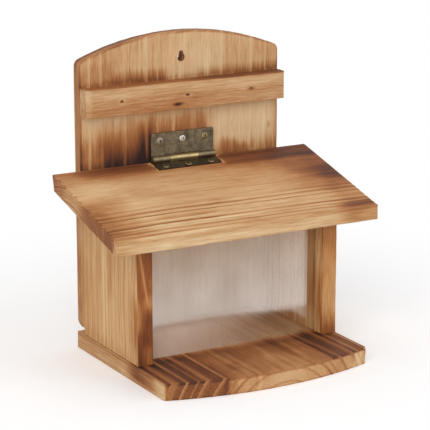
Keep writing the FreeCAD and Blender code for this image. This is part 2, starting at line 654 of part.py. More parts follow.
def make_board_nails():
    """Nails from behind into the walls, and from below into the walls and the back board."""
    length = f"{S}nail_length"
    top = f"({S}base_thickness + {WALL_NAIL_LOW} + {WALL_NAIL_SPAN})"
    for name, side in (("left", -1), ("right", 1)):
        x = f"({side} * {WALL_MIDDLE})"
        make_nail_row(f"{name}_wall_back_nails", (x, f"(-{S}nail_recess)", top, "-90"), "Y_Axis",
                      f"({WALL_NAIL_SPAN} / {ROW_COUNT - 1})", length)
        make_nail_row(f"{name}_wall_base_nails", (x, BASE_NAIL_REAR, f"{S}nail_recess", "180"),
                      "Y_Axis", f"({BASE_NAIL_SPAN} / {ROW_COUNT - 1})", length)
    first = f"(-(({ROW_COUNT} - 1) / 2) * {S}foot_nail_spacing)"
    make_nail_row("back_board_base_nails", (first, FOOT_NAIL_Y, f"{S}nail_recess", "180"),
                  "X_Axis", f"{S}foot_nail_spacing", length)


def check_document():
    """Stops if any object failed or any sub-part's shape is empty or not valid."""
    for item in doc.Objects:
        if "Invalid" in item.State or "Error" in item.State:
            raise RuntimeError(f"{item.Label} failed: {item.State}")
    for body in doc.findObjects("PartDesign::Body"):
        if body.Shape.isNull() or not body.Shape.isValid():
            raise RuntimeError(f"{body.Label} has no valid shape")


def write_parts():
    """Writes each sub-part to its own STEP file and prints what it holds."""
    os.makedirs("parts", exist_ok=True)
    for body in doc.findObjects("PartDesign::Body"):
        body.Shape.exportStep(f"parts/{body.Label}.step")
        print(f"{body.Label}: {len(body.Shape.Solids)} solids, {body.Shape.Volume / 1000:.2f} cm3")


make_base_board()
make_back_board()
make_side_wall("left_side_wall", -1)
make_side_wall("right_side_wall", 1)
make_front_panel()
make_stop_batten()
make_roof_board()
make_hinge_leaf("hinge_wall_leaf", "0", True, f"{S}wall_leaf_height", f"{S}wall_screw_rise")
make_hinge_leaf("hinge_roof_leaf", SLOPE, False, f"{S}roof_leaf_length", f"(-{S}roof_screw_run)")
make_hinge_pin()
make_hinge_screws()
make_batten_nails()
make_board_nails()
doc.recompute()
check_document()
write_parts()
pin_place = ", ".join(f"{size(expression):.3f}" for expression in ("0", f"{REAR} + {PIN_Y}", PIN_Z))
print(f"hinge pin at {pin_place} mm")
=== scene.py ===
"""Squirrel feeder box of flamed fir with a clear panel and a brass hinge, dressed for its picture.

Boards are worked out in millimetres and written to their meshes in metres. +Z is up, and the
feeder faces -Y.
"""

import logging
import math
from dataclasses import dataclass
from enum import Enum
from typing import ClassVar, Dict, List, Mapping, Optional, Sequence, Tuple, Union

import bmesh
import bpy
import numpy as np
from mathutils import Matrix, Vector


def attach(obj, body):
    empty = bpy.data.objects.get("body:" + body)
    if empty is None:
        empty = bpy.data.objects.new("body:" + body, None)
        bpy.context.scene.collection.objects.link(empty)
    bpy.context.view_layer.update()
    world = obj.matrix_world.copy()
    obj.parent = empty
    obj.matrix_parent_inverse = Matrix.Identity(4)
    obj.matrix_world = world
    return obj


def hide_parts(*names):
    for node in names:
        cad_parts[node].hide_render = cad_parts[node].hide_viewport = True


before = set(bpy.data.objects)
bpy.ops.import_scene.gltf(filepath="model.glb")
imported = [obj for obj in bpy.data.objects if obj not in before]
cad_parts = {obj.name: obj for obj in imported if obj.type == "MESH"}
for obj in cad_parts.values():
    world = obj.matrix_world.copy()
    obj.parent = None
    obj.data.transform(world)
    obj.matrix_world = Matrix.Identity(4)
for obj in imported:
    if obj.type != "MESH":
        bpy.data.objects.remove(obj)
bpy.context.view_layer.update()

LOG = logging.getLogger("feeder")
MM = 0.001

Triple = Tuple[float, float, float]
Colour = Tuple[float, float, float, float]
Span = Tuple[Optional[float], Optional[float]]
Places = Tuple[np.ndarray, np.ndarray, np.ndarray]
Number = Union[float, np.ndarray, "Flow"]
Spot = Tuple[Number, Number, Number]
Flows = Tuple["Flow", "Flow", "Flow"]

WHITE: Colour = (1.0, 1.0, 1.0, 1.0)


class Flow:
    """A number that runs through a shader, so that Python arithmetic adds its Math nodes."""

    def __init__(self, shader: "Shader", socket: bpy.types.NodeSocket) -> None:
        """Keeps the socket and the shader that it belongs to."""
        self.shader = shader
        self.socket = socket

    def __add__(self, other: Number) -> "Flow":
        """Sum."""
        return self.shader.math("ADD", self, other)

    def __radd__(self, other: Number) -> "Flow":
        """Sum with a plain number on the left."""
        return self.shader.math("ADD", other, self)

    def __sub__(self, other: Number) -> "Flow":
        """Difference."""
        return self.shader.math("SUBTRACT", self, other)

    def __rsub__(self, other: Number) -> "Flow":
        """Difference from a plain number on the left."""
        return self.shader.math("SUBTRACT", other, self)

    def __mul__(self, other: Number) -> "Flow":
        """Product."""
        return self.shader.math("MULTIPLY", self, other)

    def __rmul__(self, other: Number) -> "Flow":
        """Product with a plain number on the left."""
        return self.shader.math("MULTIPLY", other, self)

    def __truediv__(self, other: Number) -> "Flow":
        """Quotient."""
        return self.shader.math("DIVIDE", self, other)

    def __neg__(self) -> "Flow":
        """Opposite."""
        return self.shader.math("MULTIPLY", self, -1.0)


class Shader:
    """A material or a surrounding under construction."""

    def __init__(self, name: str, surrounds: bool = False) -> None:
        """Starts an empty node tree.

        Args:
            name: the name of what is made.
            surrounds: whether it is the scene's surrounding rather than a material.
        """
        kind = bpy.data.worlds if surrounds else bpy.data.materials
        self.made = kind.new(name)
        self.made.use_nodes = True
        self.tree = self.made.node_tree
        self.tree.nodes.clear()

    def node(self, kind: str, inputs: Optional[Mapping[Union[int, str], object]] = None,
             **settings: str) -> bpy.types.Node:
        """Adds a node.

        Args:
            kind: the node's type, without its first two words.
            inputs: a value, a Flow or a socket for each input, by name or number.
            settings: its properties, which are set first.

        Returns:
            The new node.
        """
        made = self.tree.nodes.new("ShaderNode" + kind)
        for key, setting in settings.items():
            setattr(made, key, setting)
        for key, given in (inputs or {}).items():
            if isinstance(given, Flow):
                given = given.socket
            if isinstance(given, bpy.types.NodeSocket):
                self.tree.links.new(given, made.inputs[key])
            else:
                made.inputs[key].default_value = given
        return made

    def math(self, operation: str, *values: Number) -> Flow:
        """Result of a Math node that works out an operation on some numbers."""
        made = self.node("Math", dict(enumerate(values)), operation=operation)
        return Flow(self, made.outputs[0])

    def place(self) -> bpy.types.NodeSocket:
        """The surface's place in the object's own metres."""
        return self.node("TexCoord").outputs["Object"]

    def millimetres(self) -> Flows:
        """The surface's place as X, Y and Z in millimetres."""
        place = self.node("SeparateXYZ", {0: self.place()})
        return tuple(Flow(self, output) / MM for output in place.outputs)

    def dot(self, first: bpy.types.NodeSocket, second: Triple) -> Flow:
        """Dot product of a vector and a fixed one."""
        made = self.node("VectorMath", {0: first, 1: second}, operation="DOT_PRODUCT")
        return Flow(self, made.outputs["Value"])

    def seen(self) -> Flow:
        """Tells what is looked at from what only lights the feeder.

        Returns:
            1 for the camera, mirrors and clear pieces, 0 for light on its way to a surface.
        """
        path = self.node("LightPath")
        camera, glossy, through = (Flow(self, path.outputs[f"Is {kind} Ray"])
                                   for kind in ("Camera", "Glossy", "Transmission"))
        return hold(camera + glossy + through)

    def noise(self, across: Number, along: Number, through: Number, detail: float,
              roughness: float = 0.5) -> Flow:
        """Smooth noise over three coordinates.

        Args:
            across: first coordinate, in lengths of the noise.
            along: second coordinate.
            through: third coordinate.
            detail: number of finer layers.
            roughness: strength of the finer layers.

        Returns:
            A value around 0.5.
        """
        spot = self.node("CombineXYZ", {0: across, 1: along, 2: through})
        made = self.node("TexNoise", {"Vector": spot.outputs[0], "Scale": 1.0, "Detail": detail,
                                      "Roughness": roughness}, noise_dimensions="3D")
        return Flow(self, made.outputs["Fac"])

    def ramp(self, value: Flow, stops: Sequence[Tuple[float, Triple]]) -> bpy.types.NodeSocket:
        """Colours a value.

        Args:
            value: what is looked up.
            stops: places and their sRGB colours out of 255.

        Returns:
            The colour.
        """
        made = self.node("ValToRGB", {0: value})
        made.color_ramp.interpolation = "LINEAR"
        marks = made.color_ramp.elements
        while len(marks) < len(stops):
            marks.new(0.5)
        for mark, (where, _) in zip(marks, stops):
            mark.position = where
        for mark, (_, colour) in zip(marks, stops):
            mark.color = linear(colour)
        return made.outputs["Color"]

    def blend(self, share: Number, first: object, second: object,
              how: str = "MIX") -> bpy.types.NodeSocket:
        """Mixes two colours.

        Args:
            share: how much of the second.
            first: a colour or socket.
            second: a colour or socket.
            how: the way of mixing.

        Returns:
            The mixed colour.
        """
        made = self.node("Mix", {0: share, 6: first, 7: second}, data_type="RGBA",
                         blend_type=how)
        return made.outputs[2]

    def bump(self, height: Flow, distance: float, strength: float) -> bpy.types.NodeSocket:
        """Tilts the surface by a height.

        Args:
            height: a height of 0 to 1.
            distance: the depth in metres that 1 stands for.
            strength: share of the tilt that is kept.

        Returns:
            The tilted normal.
        """
        made = self.node("Bump", {
            "Height": height, "Distance": distance, "Strength": strength})
        return made.outputs["Normal"]

    def finish(self, inputs: Mapping[str, object]) -> bpy.types.Material:
        """Ends the material in a Principled shader.

        Args:
            inputs: the shader's sockets.

        Returns:
            The material.
        """
        shell = self.node("BsdfPrincipled", inputs)
        self.node("OutputMaterial", {"Surface": shell.outputs[0]})
        return self.made


def linear(colour: Triple) -> Colour:
    """Turns a written colour into the one that nodes hold.

    Args:
        colour: an sRGB colour out of 255.

    Returns:
        The linear colour, with full cover.
    """
    shares = [part / 255.0 for part in colour]
    lit = [s / 12.92 if s <= 0.04045 else ((s + 0.055) / 1.055) ** 2.4 for s in shares]
    return (lit[0], lit[1], lit[2], 1.0)


def sine(value: Number) -> Number:
    """Sine of an array or of a shader's number."""
    return value.shader.math("SINE", value) if isinstance(value, Flow) else np.sin(value)


def root(value: Number) -> Number:
    """Square root."""
    return value.shader.math("SQRT", value) if isinstance(value, Flow) else np.sqrt(value)


def bell(value: Number) -> Number:
    """Falls off smoothly.

    Args:
        value: how far away, squared.

    Returns:
        1 at 0, falling towards 0: the natural exponential of the negated value.
    """
    if isinstance(value, Flow):
        return value.shader.math("EXPONENT", -value)
    return np.exp(-value)


def fraction(value: Number) -> Number:
    """Takes off the whole part.

    Args:
        value: a number.

    Returns:
        What is left over the whole number below.
    """
    if isinstance(value, Flow):
        return value.shader.math("FRACT", value)
    return value - np.floor(value)


def whole(value: Number) -> Number:
    """Whole number below."""
    return value.shader.math("FLOOR", value) if isinstance(value, Flow) else np.floor(value)


def smooth(value: Number, low: float, high: float) -> Number:
    """Rises smoothly from one place to another.

    Args:
        value: where.
        low: place where it still is 0.
        high: place where it has become 1.

    Returns:
        A value from 0 to 1.
    """
    if isinstance(value, Flow):
        made = value.shader.node("MapRange", {0: value, 1: low, 2: high, 3: 0.0, 4: 1.0},
                                 interpolation_type="SMOOTHSTEP")
        return Flow(value.shader, made.outputs[0])
    share = np.clip((value - low) / (high - low), 0.0, 1.0)
    return share * share * (3.0 - 2.0 * share)


def hold(value: Number) -> Number:
    """Keeps a value within bounds.

    Args:
        value: a number.

    Returns:
        The nearest value from 0 to 1.
    """
    if isinstance(value, Flow):
        made = value.shader.node("Clamp", {0: value, 1: 0.0, 2: 1.0})
        return Flow(value.shader, made.outputs[0])
    return np.clip(value, 0.0, 1.0)


@dataclass(frozen=True)
class Axes:
    """A board's own directions: across the grain, along it and through the thickness."""

    origin: Triple
    across: Triple
    along: Triple
    through: Triple

    def read(self, points: np.ndarray) -> Places:
        """Coordinates of points given in millimetres."""
        shifted = points - np.array(self.origin)
        return shifted @ self.across, shifted @ self.along, shifted @ self.through

    def flows(self, shader: Shader) -> Flows:
        """Coordinates of a shader's place, in millimetres.

        Args:
            shader: the material that asks.

        Returns:
            Across, along and through.
        """
        place = shader.place()
        found = []
        for axis in (self.across, self.along, self.through):
            scaled = (axis[0] / MM, axis[1] / MM, axis[2] / MM)
            found.append(shader.dot(place, scaled) - float(np.dot(self.origin, axis)))
        return found[0], found[1], found[2]


ALL: Span = (None, None)


@dataclass(frozen=True)
class Patch:
    """A soft-edged area of a board's face, in millimetres across and along the grain."""

    amount: float
    across: Span = ALL
    along: Span = ALL
    soft_across: float = 2.5
    soft_along: float = 7.0
    through: Span = ALL
    lean: float = 0.0
    slant: float = 0.0

    def cover(self, spot: Spot) -> Number:
        """How much of the patch lies on a place.

        Args:
            spot: coordinates across the grain, along it and through the thickness.

        Returns:
            0 outside, the patch's amount inside.
        """
        across, along, through = spot
        cover: Number = self.amount
        leaning = across + along * self.lean if self.lean else across
        slanted = through + along * self.slant if self.slant else through
        limits = ((leaning, self.across, self.soft_across), (along, self.along, self.soft_along),
                  (slanted, self.through, 1.0))
        for value, (low, high), soft in limits:
            if low is not None:
                cover = cover * smooth(value, low - soft, low + soft)
            if high is not None:
                cover = cover * (1.0 - smooth(value, high - soft, high + soft))
        return cover


@dataclass(frozen=True)
class Knot:
    """A knot or small flaw that the rings flow round."""

    across: float
    along: float
    half_width: float
    half_length: float
    push: float
    dark: float

    def reach(self, across: Number, along: Number, spread: float = 1.0) -> Number:
        """How near a place is to the knot.

        Args:
            across: coordinate across the grain.
            along: coordinate along the grain.
            spread: how far the knot reaches, in its own sizes.

        Returns:
            1 at its middle, falling to 0.
        """
        sideways = (across - self.across) * (1.0 / (self.half_width * spread))
        lengthways = (along - self.along) * (1.0 / (self.half_length * spread))
        return bell(sideways * sideways + lengthways * lengthways)


YEAR_END = 0.93


@dataclass(frozen=True)
class Grain:
    """How a board lay in its log: rings round a pith that runs along the board."""

    pith: Tuple[float, float]
    ring: float
    phase: float
    sway: float
    early: float = 0.5
    knots: Tuple[Knot, ...] = ()

    def rings(self, spot: Spot) -> Number:
        """Number of rings between the pith and a place.

        Args:
            spot: coordinates across the grain, along it and through the thickness.

        Returns:
            The count, which is whole at the end of each year's growth.
        """
        across, along, through = spot
        wander = self.sway * (sine(along * 0.023 + self.phase * 3.0)
                              + 0.45 * sine(along * 0.061 + across * 0.04 + 1.3))
        sideways = across - self.pith[0] + wander
        depth = through - self.pith[1] + wander * 0.5
        count = root(sideways * sideways + depth * depth) * (1.0 / self.ring) + self.phase
        for knot in self.knots:
            count = count + knot.push * knot.reach(across, along, 2.2)
        return count + 0.2 * sine(count * 1.7) + 0.1 * sine(count * 4.1 + 0.8)

    def late(self, rings: Number) -> Number:
        """Late wood, the hard line at the end of a ring.

        Args:
            rings: the count of rings.

        Returns:
            0 in the early wood, up to 1 in the line.
        """
        part = fraction(rings)
        ripe = self.early + (YEAR_END - self.early) * 0.8
        line = smooth(part, self.early, ripe) * (1.0 - smooth(part, YEAR_END, 1.0))
        return line * (0.78 + 0.22 * sine(whole(rings) * 2.4))


TONES = (
    (0.00, (46, 29, 23)),
    (0.12, (84, 50, 36)),
    (0.27, (122, 70, 40)),
    (0.42, (154, 96, 55)),
    (0.56, (181, 124, 76)),
    (0.70, (203, 154, 104)),
    (0.84, (219, 179, 132)),
    (1.00, (237, 207, 164)),
)
BLEACHED: Triple = (228, 208, 176)
UNTINTED: Triple = (255, 255, 255)

RIM = "rim"
RIM_REACH = 12.0
BRUSH_RIPPLE = 0.025
BUMP_DEPTH = 0.22 * MM


@dataclass(frozen=True)
class Fleck:
    """A kind of noise that runs with the grain, its sizes in millimetres."""

    width: float
    length: float
    detail: float
    shift: float


BANDS = Fleck(6.5, 120.0, 2.0, 0.0)
STREAKS = Fleck(1.3, 46.0, 3.0, 11.0)
FIBRES = Fleck(0.42, 10.0, 2.0, 23.0)
BLOTCHES = Fleck(34.0, 52.0, 2.0, 37.0)
PORES = Fleck(0.33, 13.0, 1.0, 51.0)


@dataclass(frozen=True)
class FlamedFir:
    """Fir that was scorched with a flame and brushed, so that its hard lines stand out."""

    name: str
    axes: Axes
    grain: Grain
    light: float
    late_tone: float
    keep: float
    bands: float
    streaks: float
    blotches: float
    relief: float
    seed: float
    reach: float
    wander: float = 9.0
    bleach: float = 0.0
    tint: Triple = UNTINTED
    end_tone: float = -0.08
    end_late: float = 0.0
    rim_tone: float = 0.0
    sheltered: Optional[float] = None
    # Patches of scorching and of paler wood; some of them are painted shade in creases and
    # recesses, and painted light on a shaded floor.
    burns_and_painted_light: Tuple[Patch, ...] = ()
    lines: Tuple[Patch, ...] = (Patch(1.0),)

    def line_cover(self, spot: Spot) -> Number:
        """How clearly the rings show at a place.

        Args:
            spot: coordinates across the grain, along it and through the thickness.

        Returns:
            The sum of the patches of rings.
        """
        cover: Number = 0.0
        for patch in self.lines:
            cover = cover + patch.cover(spot)
        return cover

    def groove(self, points: np.ndarray) -> np.ndarray:
        """Depth that the brush took off, in millimetres.

        Args:
            points: places in millimetres.

        Returns:
            A depth for each place, none of them negative.
        """
        spot = self.axes.read(points)
        across, along, through = spot
        late = self.grain.late(self.grain.rings(spot))
        shown = hold(self.line_cover(spot))
        ripple = 0.5 + 0.25 * np.sin(across * 3.1 + along * 0.05) + 0.25 * np.sin(
            across * 5.3 - along * 0.03 + through)
        return self.relief * shown * (1.0 - late) + BRUSH_RIPPLE * ripple

    def end_grain(self, shader: Shader) -> Flow:
        """Tells end grain, 1, from the board's sides, 0."""
        facing = shader.dot(shader.node("TexCoord").outputs["Normal"], self.axes.along)
        return smooth(facing * facing, 0.3, 0.7)

    def fleck(self, spot: Flows, kind: Fleck) -> Flow:
        """Noise stretched along the grain.

        Args:
            spot: coordinates across, along and through.
            kind: the noise's sizes.

        Returns:
            A value around 0.
        """
        across, along, through = spot
        noise = across.shader.noise(across * (1.0 / kind.width) + (self.seed + kind.shift),
                                    along * (1.0 / kind.length) + self.seed * 1.7,
                                    through * (1.0 / kind.width) + kind.shift, kind.detail, 0.55)
        return noise - 0.5

    def burning_and_painted_light(self, spot: Flows, bands: Flow, streaks: Flow, blotches: Flow) -> Flow:
        """How much the flame darkened a place, with the painted shade and painted light that some
        patches add.

        Args:
            spot: coordinates across, along and through.
            bands: broad noise along the grain.
            streaks: fine noise along the grain.
            blotches: noise without a direction.

        Returns:
            0 where the flame never came, 1 or more where it charred the wood; painted shade raises
            it, and painted light and paler wood lower it.
        """
        across, along, through = spot
        licked = along + (bands * 1.6 + streaks * 0.9) * self.reach
        spread = across + blotches * self.wander + streaks * 1.5
        burn_and_painted_light: Number = 0.0
        for patch in self.burns_and_painted_light:
            burn_and_painted_light = burn_and_painted_light + patch.cover((spread, licked, through))
        if self.sheltered is not None:
            burn_and_painted_light = burn_and_painted_light * (0.3 + 0.7 * smooth(through, self.sheltered, self.sheltered + 1.2))
        rim = across.shader.node("Attribute", attribute_name=RIM)
        inset = RIM_REACH - Flow(across.shader, rim.outputs["Fac"])
        outline = 1.0 - smooth(inset + streaks, 0.5, 1.9)
        return burn_and_painted_light + outline * hold(0.8 + blotches * 3.0) * -self.rim_tone

    def stain(self, shader: Shader, tone: Flow) -> bpy.types.NodeSocket:
        """Turns a tone into the wood's colour.

        Args:
            shader: the material that asks.
            tone: 0 for charred wood, 1 for the palest.

        Returns:
            The colour, bleached and tinted.
        """
        colour = shader.ramp(hold(tone), TONES)
        if self.bleach:
            pale = smooth(tone, 0.5, 1.0) * self.bleach
            colour = shader.blend(pale, colour, linear(BLEACHED))
        return shader.blend(1.0, colour, linear(self.tint), "MULTIPLY")

    def material(self) -> bpy.types.Material:
        """Builds the finish's material.

        Returns:
            The material, which reads the board's own coordinates and its rim attribute.
        """
        shader = Shader(self.name)
        spot = self.axes.flows(shader)
        across, along, through = spot
        end = self.end_grain(shader)
        lengthways = 1.0 - end * 0.8
        bands, streaks, fibres = (self.fleck(spot, kind) * lengthways
                                  for kind in (BANDS, STREAKS, FIBRES))
        blotches = self.fleck(spot, BLOTCHES)
        pores = smooth(self.fleck(spot, PORES), 0.06, 0.2) * lengthways
        sawn = (shader.noise(across * 1.3, along * 1.3, through * 1.3, 3.0, 0.6) - 0.5) * end

        # Besides the scorching, this carries the painted shade and painted light of some patches.
        burn_and_painted_light = self.burning_and_painted_light(spot, bands, streaks, blotches)
        scorch_and_painted_shade = hold(burn_and_painted_light)
        shown = self.line_cover(spot) * hold(0.8 + bands * 2.0)
        late = self.grain.late(self.grain.rings(spot)) * hold(shown + end * 0.7)
        cut_line = late * self.end_late * hold(1.0 - scorch_and_painted_shade * 2.2)
        tone = (self.light + bands * self.bands * 2.0 + streaks * self.streaks * 1.6
                + fibres * 0.3 + blotches * self.blotches * 2.0 + late * self.late_tone
                + end * (cut_line + self.end_tone) + sawn * 0.5 - pores * 0.07)
        tone = tone - scorch_and_painted_shade * (1.0 - late * self.keep) * (0.85 + bands * 0.9 + streaks * 0.5)
        tone = tone - (burn_and_painted_light - scorch_and_painted_shade)
        for knot in self.grain.knots:
            tone = tone - knot.dark * knot.reach(across, along)
        height = late * 0.5 + streaks * 0.5 + fibres * 0.6 + sawn * 0.8 - pores * 0.35 + 0.6
        return shader.finish({
            "Base Color": self.stain(shader, tone),
            "Roughness": 0.62 + streaks * 0.3 - late * 0.08 + scorch_and_painted_shade * 0.08,
            "Specular IOR Level": 0.24,
            "Normal": shader.bump(height, BUMP_DEPTH, 0.9),
        })


def start_afresh() -> None:
    """Leaves edit mode and deselects every object."""
    if bpy.context.object is not None and bpy.context.object.mode != "OBJECT":
        bpy.ops.object.mode_set(mode="OBJECT")
    bpy.ops.object.select_all(action="DESELECT")


def select_only(piece: bpy.types.Object) -> None:
    """Selects one object and makes it the active one.

    Args:
        piece: the object.
    """
    start_afresh()
    piece.select_set(True)
    bpy.context.view_layer.objects.active = piece


def dress(piece: bpy.types.Object, finish: bpy.types.Material, crease: float) -> None:
    """Smooths a piece up to its sharp edges and gives it its only finish.

    Args:
        piece: the piece.
        finish: its material.
        crease: angle in degrees from which an edge stays sharp.
    """
    select_only(piece)
    bpy.ops.object.shade_smooth_by_angle(angle=math.radians(crease))
    piece.data.materials.clear()
    piece.data.materials.append(finish)


def add_object(name: str, data: bpy.types.ID) -> bpy.types.Object:
    """Puts a mesh, a lamp or a camera into the scene.

    Args:
        name: the new object's name.
        data: what it shows.

    Returns:
        The object.
    """
    made = bpy.data.objects.new(name, data)
    bpy.context.scene.collection.objects.link(made)
    return made


def read_points(piece: bpy.types.Object) -> np.ndarray:
    """Reads a mesh's vertices.

    Args:
        piece: the mesh's object.

    Returns:
        A row for each vertex, in millimetres.
    """
    flat = np.empty(len(piece.data.vertices) * 3)
    piece.data.vertices.foreach_get("co", flat)
    return flat.reshape(-1, 3) / MM


def write_points(piece: bpy.types.Object, points: np.ndarray) -> None:
    """Places a mesh's vertices, given in millimetres."""
    piece.data.vertices.foreach_set("co", (points * MM).ravel())
    piece.data.update()


def steps(low: float, high: float, step: float, margins: Sequence[float]) -> np.ndarray:
    """Places along one side of a board: close together at both ends, then evenly.

    Args:
        low: one end.
        high: other end.
        step: largest distance between two places.
        margins: distances from each end that get a place, rising.

    Returns:
        The places, rising.
    """
    inner_low, inner_high = low + margins[-1], high - margins[-1]
    count = max(1, math.ceil((inner_high - inner_low) / step))
    middle = np.linspace(inner_low, inner_high, count + 1)
    near = low + np.array([0.0, *margins[:-1]])
    far = high - np.array([0.0, *margins[:-1]])
    return np.unique(np.round(np.concatenate([near, middle, far]), 5))


@dataclass(frozen=True)
class Side:
    """One side of a board's box: an axis and whether it is the high end."""

    axis: int
    high: bool


LEFT, RIGHT = Side(0, False), Side(0, True)
FRONT, REAR = Side(1, False), Side(1, True)
FOOT, TOP = Side(2, False), Side(2, True)


TINY = 1e-9
LEVEL = 1e-6


class Block:
    """The points of a board's box, which its edges and corners are rounded on."""

    def __init__(self, points: np.ndarray, low: Sequence[float], high: Sequence[float]) -> None:
        """Keeps the points and the box's two corners.

        Args:
            points: a row for each point, in millimetres.
            low: the box's lowest corner.
            high: its highest corner.
        """
        self.points = points
        self.low = low
        self.high = high

    def depth(self, side: Side) -> np.ndarray:
        """Distance of each point from a side."""
        values = self.points[:, side.axis]
        return self.high[side.axis] - values if side.high else values - self.low[side.axis]

    def set_depth(self, side: Side, depth: np.ndarray) -> None:
        """Moves each point to a distance from a side."""
        bound = self.high[side.axis] - depth if side.high else self.low[side.axis] + depth
        self.points[:, side.axis] = bound

    def ease(self, rims: Sequence[Side], faces: Sequence[Side], radius: np.ndarray) -> None:
        """Wears the edges between some rim sides and some faces to a round.

        Args:
            rims: sides that stand round the board.
            faces: broad sides that they meet.
            radius: radius of the round at each point.
        """
        inset = np.min([self.depth(side) for side in rims], axis=0)
        for face in faces:
            depth = self.depth(face)
            near = (inset < radius) & (depth < radius)
            sideways, inward = radius - inset, radius - depth
            length = np.maximum(np.hypot(sideways, inward), TINY)
            pull = np.where(near, np.maximum(sideways, inward) / length, 1.0)
            new_inset = np.where(near, radius - sideways * pull, inset)
            for side in rims:
                pushed = np.where(near, new_inset, -1.0)
                self.set_depth(side, np.maximum(self.depth(side), pushed))
            self.set_depth(face, np.where(near, radius - inward * pull, depth))

    def round_corner(self, first: Side, second: Side, radius: float) -> None:
        """Rounds the corner between two rim sides.

        Args:
            first: one side.
            second: the side that it meets.
            radius: radius of the corner.
        """
        one, other = radius - self.depth(first), radius - self.depth(second)
        near = (one > 0) & (other > 0)
        pull = np.where(near, np.maximum(one, other) / np.maximum(np.hypot(one, other), TINY), 1.0)
        self.set_depth(first, np.where(near, radius - one * pull, radius - one))
        self.set_depth(second, np.where(near, radius - other * pull, radius - other))


EDGE_MARGINS = (0.12, 0.3, 0.55, 0.9, 1.3)
SAWN_MARGINS = (0.6, 2.0)
ARC_TURNS = (0.0, 9.0, 18.0, 27.0, 36.0, 45.0)
BOARD_CREASE = 38.0


def arc_margins(radius: float) -> Tuple[float, ...]:
    """Distances from an end at which a worn edge and a corner of a radius need a place."""
    arc = [radius * (1.0 - math.tan(math.radians(turn))) for turn in ARC_TURNS]
    return tuple(sorted({round(value, 4) for value in (*EDGE_MARGINS, *arc) if value > 0.0}))


@dataclass
class Cutter:
    """A block, or a round bar along Y, that is cut out of a piece, in millimetres."""

    centre: Triple
    size: Triple
    is_round: bool = False
    tilt: float = 0.0

    def make(self) -> bpy.types.Object:
        """Makes the cutter's mesh.

        Returns:
            A closed object, in metres.
        """
        start_afresh()
        if self.is_round:
            bpy.ops.mesh.primitive_cylinder_add(vertices=48, radius=0.5 * MM, depth=MM)
        else:
            bpy.ops.mesh.primitive_cube_add(size=MM)
        made = bpy.context.object
        turn = Matrix.Rotation(math.pi / 2, 4, "X") if self.is_round else Matrix.Identity(4)
        scale = Matrix.Diagonal((*self.size, 1.0))
        tilt = Matrix.Rotation(math.radians(self.tilt), 4, "X")
        move = Matrix.Translation(Vector(self.centre) * MM)
        made.data.transform(move @ tilt @ scale @ turn)
        return made


def cut_away(piece: bpy.types.Object, cutters: Sequence[Cutter], solver: str = "FAST") -> None:
    """Cuts blocks out of a piece, one after another.

    Args:
        piece: the piece.
        cutters: what is cut away.
        solver: the way of cutting.
    """
    for cutter in cutters:
        tool = cutter.make()
        select_only(piece)
        knife = piece.modifiers.new("cut", "BOOLEAN")
        knife.operation = "DIFFERENCE"
        knife.solver = solver
        knife.object = tool
        bpy.ops.object.modifier_apply(modifier="cut")
        bpy.data.objects.remove(tool)


